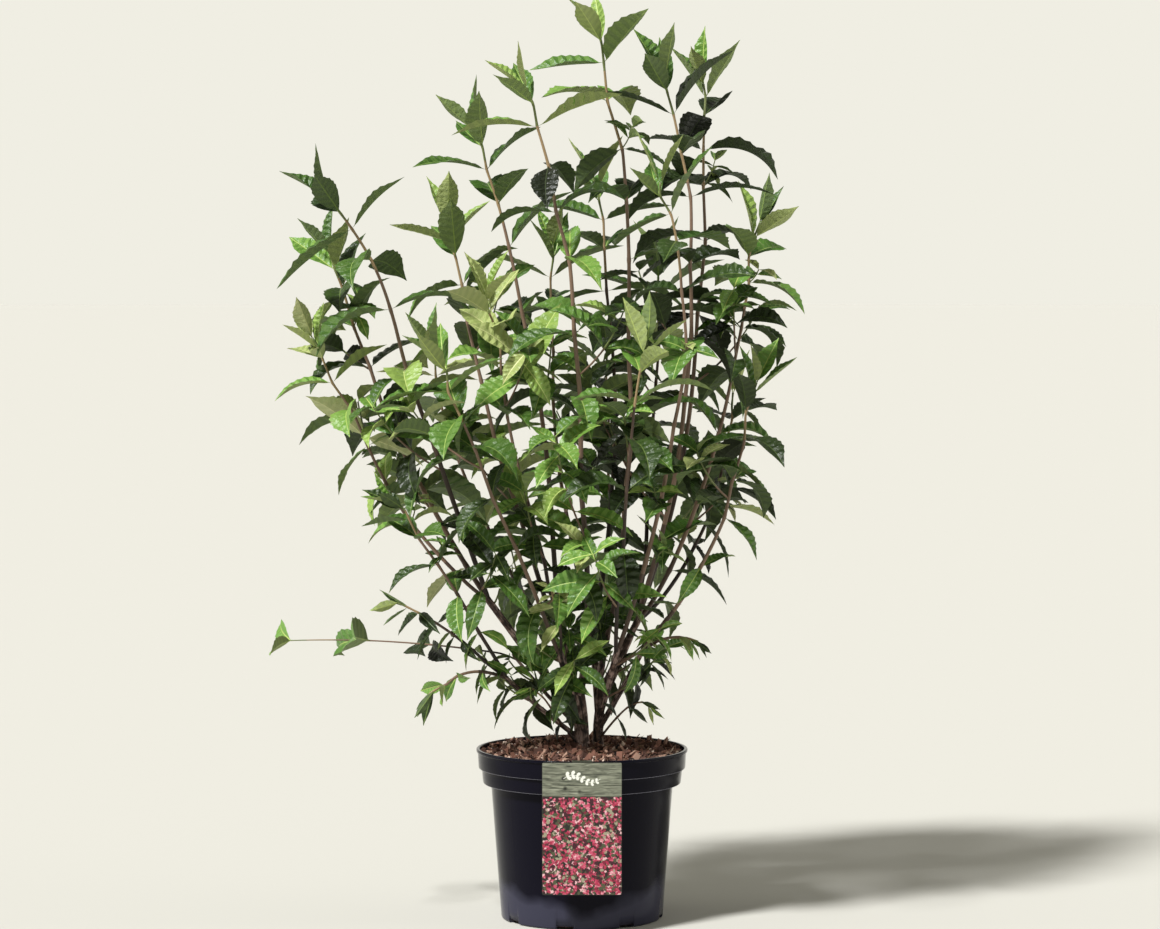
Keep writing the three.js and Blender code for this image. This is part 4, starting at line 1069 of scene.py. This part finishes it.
# %% Chips and fibres
BOX = np.array([[x, y, z] for x in (-1, 1) for y in (-1, 1) for z in (-1, 1)], float)
BOX_FACES = [[0, 1, 3, 2], [4, 6, 7, 5], [0, 4, 5, 1], [2, 3, 7, 6], [0, 2, 6, 4], [1, 5, 7, 3]]
CRUSHED = 0.35  # how far a chip's corners are pushed, as a share of its half size
SCATTER, RIM = 131, 133.5  # chips lie within the first radius, and none reaches past the second
CHIPS = [  # name, colour, how many, limits of the three half sizes, tilt in degrees, and how high they lie
    ("dark", "1c100c", 900, [(2.5, 9), (1.5, 4.6), (0.8, 2)], 28, (0, 2)),
    ("brown", "50352b", 760, [(2.5, 12), (1.5, 5), (0.8, 2.2)], 32, (0.5, 3.5)),
    ("russet", "754f40", 520, [(2.5, 12), (1.3, 4.6), (0.7, 2)], 32, (1, 4.2)),
    ("tan", "a07f6d", 300, [(3, 13), (1, 3.8), (0.5, 1.6)], 32, (1.5, 4.6)),
    ("pale", "cfb8a8", 150, [(2, 10), (0.8, 3.2), (0.5, 1.3)], 32, (2, 5)),
    ("fibre", "7d5c49", 420, [(9, 17), (0.35, 0.7), (0.3, 0.6)], 18, (2, 5)),
]


def rotations(random, count, tilt):
    """Turn matrices: any yaw, tipped by a normal spread of `tilt` degrees about two level axes."""
    yaw = random.uniform(0, TURN, count)
    pitch, roll = np.radians(random.normal(0, tilt, (2, count)))
    cos, sin, one, nil = np.cos, np.sin, np.ones(count), np.zeros(count)
    yaws = np.array([[cos(yaw), -sin(yaw), nil], [sin(yaw), cos(yaw), nil], [nil, nil, one]])
    pitches = np.array([[cos(pitch), nil, sin(pitch)], [nil, one, nil], [-sin(pitch), nil, cos(pitch)]])
    rolls = np.array([[one, nil, nil], [nil, cos(roll), -sin(roll)], [nil, sin(roll), cos(roll)]])
    return np.einsum("ijn,jkn,kln->nil", yaws, pitches, rolls)


def chips(seed, count, size, tilt, raised):
    """Boxes of half sizes drawn between limits, with each corner pushed aside, turned, laid on the ground,
    and left out where a trunk stands."""
    random = np.random.default_rng(seed)
    half = np.stack([random.uniform(low, high, count) for low, high in size], -1)
    corners = BOX * half[:, None] * (1 + random.uniform(-CRUSHED, CRUSHED, (count, 8, 3)))
    corners = np.einsum("nij,nkj->nki", rotations(random, count, tilt), corners)
    r, a = SCATTER * np.sqrt(random.uniform(0, 1, count)), random.uniform(0, TURN, count)
    r = np.minimum(r, RIM - half.max(1))
    x, y = r * np.cos(a), r * np.sin(a)
    centre = np.stack([x, y, ground(x, y) + random.uniform(*raised, count)], -1)
    trunks = [(*row["foot"], row["radii"][0]) for row in TRUNKS.values()]
    to_trunks = np.min([np.hypot(x - at_x, y - at_y) - radius for at_x, at_y, radius in trunks], axis=0)
    points = (corners + centre[:, None])[to_trunks > -2]
    return points, copies(BOX_FACES, len(points), len(BOX))


for k, (name, code, *how) in enumerate(CHIPS):
    points, faces = chips(70 + k, *how)
    coat = material(f"shredded_bark_{name}", code, 0.9)[0]
    piece(f"chips_{name}", points, faces, [coat], smooth_shading=False)

# %% [markdown]
# A cushion of moss has started in front of the trunks. Moss is a mat of tiny upright shoots, so it is a low
# dome of three-sided spikes, which break the light up into a soft, matt yellow-green.

# %% Moss
TUFTS, MOSS_AT, MOSS_HALF, DOME = 420, (12, -66), (15, 11), 2.5
SPIKE_FACES = [[0, 1, 3], [1, 2, 3], [2, 0, 3], [0, 2, 1]]
random = np.random.default_rng(9)
r, a = np.sqrt(random.uniform(0, 1, TUFTS)), random.uniform(0, TURN, TUFTS)
x, y = MOSS_AT[0] + MOSS_HALF[0] * r * np.cos(a), MOSS_AT[1] + MOSS_HALF[1] * r * np.sin(a)
foot = np.stack([x, y, ground(x, y) + 1.5 + DOME * (1 - r**2)], -1)
tuft = random.uniform(1.4, 3.2, TUFTS)[:, None]
lean = random.normal(0, 0.5, (TUFTS, 3)) * [1, 1, 0]
spokes = np.stack([np.cos([0, 2.1, 4.2]), np.sin([0, 2.1, 4.2]), np.zeros(3)], -1) * 0.9
spikes = np.concatenate([foot[:, None] + spokes, (foot + (UP + lean) * tuft)[:, None]], 1)
moss = material("cushion_moss", "6f8433", 0.8)[0]
piece("moss", spikes, copies(SPIKE_FACES, TUFTS, 4), [moss], smooth_shading=False)

# %% [markdown]
# ## The picture label
# A printed plastic card hangs on the rim by a tongue. Its upper quarter shows weathered boards, the rest a
# mass of pink flowers. The real print is someone's picture, so this one is a design of its own: plain
# five-lobed blossoms laid out at random over dark leaves, and a white sprig where a title would stand.
# There is no lettering. The print is a few thousand flat faces a hair in front of the card, which stay
# crisp at any distance. Card and inks have the low, even sheen of printed polypropylene.

# %% The card and its tongue
CARD = dict(x=51.5, low=52.0, high=224.0, front=-141.1, back=-140.3, corner=2.5)
PRINT_X, PRINT, BOARDS = 51.0, (52.6, 179.4), (180, 223.5)  # half width, and the heights of print and boards
TONGUE = [(-140.7, 213, 0), (-140.7, 225.8, 1.2), (-133.6, 225.8, 1.2), (-133.6, 219, 0)]  # Y, Z, rounding
TONGUE_X, TONGUE_HALF = 13, 0.4
PLASTIC = dict(IOR=1.49)


def round_corners(x, low, high, corner):
    """A rectangle's outline with quarter circles at its corners, anticlockwise from the lower right."""
    a = np.linspace(0, math.pi / 2, 6)
    parts = []
    for k, (sx, z) in enumerate(((1, low), (1, high), (-1, high), (-1, low))):
        turn = a + (k - 1) * math.pi / 2
        centre = np.array([sx * (x - corner), z + corner if z == low else z - corner])
        parts.append(centre + corner * np.stack([np.cos(turn), np.sin(turn)], -1))
    return np.concatenate(parts)


outline = round_corners(CARD["x"], CARD["low"], CARD["high"], CARD["corner"])
card = np.stack([np.insert(outline, 1, y, axis=1) for y in (CARD["back"], CARD["front"])])
# The tongue: a strip carried along a path up the card's back, over the lip and down inside it.
path = rounded(TONGUE, 5)
side = unit(np.gradient(path, axis=0))[:, ::-1] * [1, -1]
strip = [np.stack([np.full(len(path), TONGUE_X * sx), *(path + side * sy * TONGUE_HALF).T], -1)
         for sx, sy in ((-1, -1), (1, -1), (1, 1), (-1, 1))]
tongue = np.stack(strip, 1)
points, faces, which = joined([(rings, tube_faces(*rings.shape[:2]), 0) for rings in (card, tongue)])
card_plastic = material("printed_polypropylene_card", "34372c", 0.3, **PLASTIC)[0]
piece("label_card", points, faces, [card_plastic], which, ["label"], smooth_shading=False)

# %% [markdown]
# The boards are three strips with a procedural grain: weathered larch, grey-green, with dark knots. The
# grain is drawn out along X to eight times its 2 mm width, and a knot comes every 24 mm or so.

# %% Weathered boards
BOARD_HEIGHT, BOARD_STEP, BOARD_COUNT = 14, 14.7, 3
boards, tree, shader = material("weathered_grey_boards", "6c7060", 0.4, **PLASTIC)
place = add(tree, "TexCoord").outputs["Object"]
drawn_out = add(tree, "Mapping", {"Vector": place, "Scale": (0.12, 1, 1)}).outputs["Vector"]
grain = add(tree, "TexNoise", {"Vector": drawn_out, "Scale": repeats(1.92), "Detail": 5.0, "Distortion": 0.6})
tone = add(tree, "ValToRGB", {"Fac": grain.outputs["Fac"]},
           stops=[(0.28, "3a3e33"), (0.78, "a3a694"), (0.45, "66695a"), (0.6, "828573")])
knots = add(tree, "TexVoronoi", {"Vector": place, "Scale": repeats(23.8)}).outputs["Distance"]
knot = add(tree, "MapRange", {"Value": knots, 1: 0.06, 2: 0.16, 3: 1.0, 4: 0.0}).outputs["Result"]
dark = add(tree, "Mix", {"Factor": knot, 6: tone.outputs["Color"], 7: linear("22241c")}, data_type="RGBA")
feed(tree, shader, Base_Color=dark.outputs[2])
parts = []
for k in range(BOARD_COUNT):
    low = BOARDS[0] + 0.2 + BOARD_STEP * k
    across = np.linspace(-PRINT_X, PRINT_X, 12)
    x, z = np.meshgrid(across, np.linspace(low, low + BOARD_HEIGHT, 3), indexing="ij")
    z = z + 0.35 * np.sin(x / 9 + 2 * k)
    points = np.stack([x, np.full_like(x, CARD["front"] - 0.05), np.clip(z, *BOARDS)], -1)
    parts.append((points, grid_faces(*x.shape)[:, ::-1], 0))
points, faces, which = joined(parts)
piece("label_boards", points, faces, [boards], which, smooth_shading=False)

# %% Blossoms and leaves of the print
FACING = [(0, 1, 2, 3), (0, 3, 4, 5)]  # a six-sided shape as two quads, anticlockwise seen from the front
PRINT_INKS = [
    ("night_green", "1e2019"), ("wine_shade", "3f1722"), ("leaf_green", "494e36"), ("pale_green", "97927a"),
    ("wine", "7f2239"), ("crimson", "a82b4a"), ("rose", "c44c68"), ("pink", "d4808f"), ("blush", "e3b5b8"),
]
ink = {name: k for k, (name, _) in enumerate(PRINT_INKS)}
LEAF_INKS = {"leaf_green": 0.42, "pale_green": 0.2, "wine_shade": 0.38}  # and the share of the leaves of each
PETAL_INKS = {"wine": 0.24, "crimson": 0.3, "rose": 0.22, "pink": 0.13, "blush": 0.11}
BLOSSOMS, PETALS, PRINT_LEAVES = 1150, 5, 760


def petals(x, z, reach, spin, depth, span):
    """Six-sided petals or leaves from (x, z) outwards, cut off at the sides of the card and at the two
    heights of `span`: the half width is 0 at both ends and 0.3 of the reach between."""
    u = np.array([0.0, 0.35, 0.8, 1.0, 0.8, 0.35])
    v = np.array([0.0, -0.3, -0.3, 0.0, 0.3, 0.3])
    along, over = reach[:, None] * u, reach[:, None] * v
    cos, sin = np.cos(spin)[:, None], np.sin(spin)[:, None]
    px = np.clip(x[:, None] + along * cos - over * sin, -PRINT_X, PRINT_X)
    pz = np.clip(z[:, None] + along * sin + over * cos, *span)
    return np.stack([px, np.broadcast_to(CARD["front"] - depth[:, None], px.shape), pz], -1)


def inks_drawn(shares, count, random):
    """An ink's number for each of `count` shapes, drawn by the shares."""
    return random.choice([ink[name] for name in shares], count, p=list(shares.values()))


x, z = np.meshgrid([-PRINT_X, PRINT_X], PRINT, indexing="ij")
backing = np.stack([x, np.full_like(x, CARD["front"] - 0.04), z], -1)
# Leaves and blossoms take turns in depth, so that each overlaps those behind it.
random = np.random.default_rng(21)
count = BLOSSOMS + PRINT_LEAVES
is_leaf = random.permutation(count) < PRINT_LEAVES
x, z = random.uniform(-PRINT_X, PRINT_X, count), random.uniform(*PRINT, count)
depth = 0.05 + 0.35 * np.arange(count) / count
leaf_ink, petal_ink = (inks_drawn(shares, count, random) for shares in (LEAF_INKS, PETAL_INKS))
shapes = [petals(x, z, random.uniform(3, 7.5, count), random.uniform(0, TURN, count), depth, PRINT)[is_leaf]]
inks_of = [leaf_ink[is_leaf]]
reach, spin = random.uniform(1.8, 3.6, count), random.uniform(0, TURN, count)
for k in range(PETALS):
    own_spin = spin + k * TURN / PETALS + random.normal(0, 0.12, count)
    own_reach = reach * random.uniform(0.6, 1.05, count)
    shapes.append(petals(x, z, own_reach, own_spin, depth + k * 5e-5, PRINT)[~is_leaf])
    lighter = random.random(count) < 0.25
    inks_of.append(np.minimum(petal_ink + lighter, ink["blush"])[~is_leaf])
shapes = np.concatenate(shapes)
faces = copies(FACING, len(shapes), 6)
which = np.repeat(np.concatenate(inks_of), 2)
corners = shapes.reshape(-1, 3)[faces]
area = np.linalg.norm(np.cross(corners[:, 2] - corners[:, 0], corners[:, 3] - corners[:, 1]), axis=1) / 2
printed = area > 0.01  # what the card's edge cut off has no area
points, faces, which = joined([(backing, grid_faces(2, 2)[:, ::-1], ink["night_green"]),
                               (shapes, faces[printed], which[printed])])
inks = [material(f"printing_ink_{name}", code, 0.34, **PLASTIC)[0] for name, code in PRINT_INKS]
piece("label_print", points, faces, inks, which, smooth_shading=False)

# %% [markdown]
# The white sprig on the boards is a thin curved stem with pairs of small leaves.

# %% White sprig
t = np.linspace(0, 1, 24)
stem_x, stem_z = mix(-24, 24, t), 203 + 5 * np.sin(t * TURN)
ribbon = [np.stack([stem_x, np.full(len(t), CARD["front"] - 0.09), stem_z + side * (0.45 - 0.2 * t)], -1)
          for side in (-1, 1)]
k = np.repeat(np.arange(2, 23, 3), 2)
lean = np.tile([-1, 1], len(k) // 2) * 0.85 + 0.5 * np.cos(t[k] * TURN)
sprig_leaves = petals(stem_x[k], stem_z[k], 7.5 - 3 * t[k], lean, np.full(len(k), 0.1), BOARDS)
points, faces, which = joined([(np.stack(ribbon, 1), grid_faces(len(t), 2)[:, ::-1], 0),
                               (sprig_leaves, copies(FACING, len(k), 6), 0)])
white_ink = material("white_printing_ink", "e9eadf", 0.34, **PLASTIC)[0]
piece("label_sprig", points, faces, [white_ink], which, smooth_shading=False)

# %% [markdown]
# ## Studio
# A pale floor and an even pale surround, one large soft light from the upper left, and weaker ones to the
# right and behind. None of it belongs to the part.

# %% Floor, light and camera
CREAM, FLOOR_CREAM = "f0eee3", "f0eee5"  # what the surround and the floor look like
SUN, SUN_FROM = 4.6, (-0.62, -0.62, 1.0)  # strength, and the direction it shines from
SURROUND = 0.36  # what the surround gives a level white floor, measured on a render
CAMERA_AT, LOOKS_AT, LENS = (0, -5.0, 0.88), (-0.0026, 0, 0.601), 117.7

scene = bpy.context.scene
scene.view_settings.view_transform = "Standard"
world = bpy.data.worlds.new("pale_surround")
world.use_nodes = True
tree = world.node_tree
# The camera sees an even cream. What lights the plant is a dim room with a bright panel on each side, and a
# pale wall behind that gives the gloss its bright edges.
place = add(tree, "SeparateXYZ", {"Vector": add(tree, "TexCoord").outputs["Generated"]})
aside = add(tree, "Math", {0: place.outputs["X"]}, operation="ABSOLUTE")
panels = add(tree, "MapRange", {"Value": aside.outputs["Value"], 1: 0.78, 2: 0.96, 3: 0.27, 4: 2.4})
behind = add(tree, "MapRange", {"Value": place.outputs["Y"], 1: 0.8, 2: 0.95, 3: 0.0, 4: 0.9})
glow = add(tree, "Math", {0: panels.outputs["Result"], 1: behind.outputs["Result"]})
seen = add(tree, "LightPath").outputs["Is Camera Ray"]
strength = add(tree, "Mix", {"Factor": seen, 2: glow.outputs["Value"], 3: 1.0})
tree.links.new(strength.outputs[0], tree.nodes["Background"].inputs["Strength"])
tree.nodes["Background"].inputs["Color"].default_value = linear(CREAM)
scene.world = world

sun = bpy.data.lights.new("key", "SUN")
sun.energy, sun.angle = SUN, math.radians(9)
holder = bpy.data.objects.new("key", sun)
holder.rotation_euler = Vector(SUN_FROM).to_track_quat("Z", "Y").to_euler()
scene.collection.objects.link(holder)

# The floor's own colour is the cream divided by the light that falls on it, so its far edge doesn't show.
falling = SURROUND + SUN * unit(np.array(SUN_FROM))[2] / math.pi
print("light on the floor:", round(falling, 3))
floor_mesh = bpy.data.meshes.new("floor")
floor_mesh.from_pydata([(60 * math.cos(a), 60 * math.sin(a), -0.0005) for a in around(64)], [], [range(64)])
floor = bpy.data.objects.new("floor", floor_mesh)
scene.collection.objects.link(floor)
floor_paint, _, shader = material("pale_studio_floor", CREAM, 1.0, Specular_IOR_Level=0.0)
shader.inputs["Base Color"].default_value = [min(0.95, c / falling) for c in linear(FLOOR_CREAM)[:3]] + [1]
floor_mesh.materials.append(floor_paint)

camera = bpy.data.cameras.new("camera")
camera.lens, camera.sensor_width = LENS, 36
camera.clip_end = 200
holder = bpy.data.objects.new("camera", camera)
holder.location = CAMERA_AT
holder.rotation_euler = (Vector(LOOKS_AT) - holder.location).to_track_quat("-Z", "Y").to_euler()
scene.collection.objects.link(holder)
scene.camera = holder
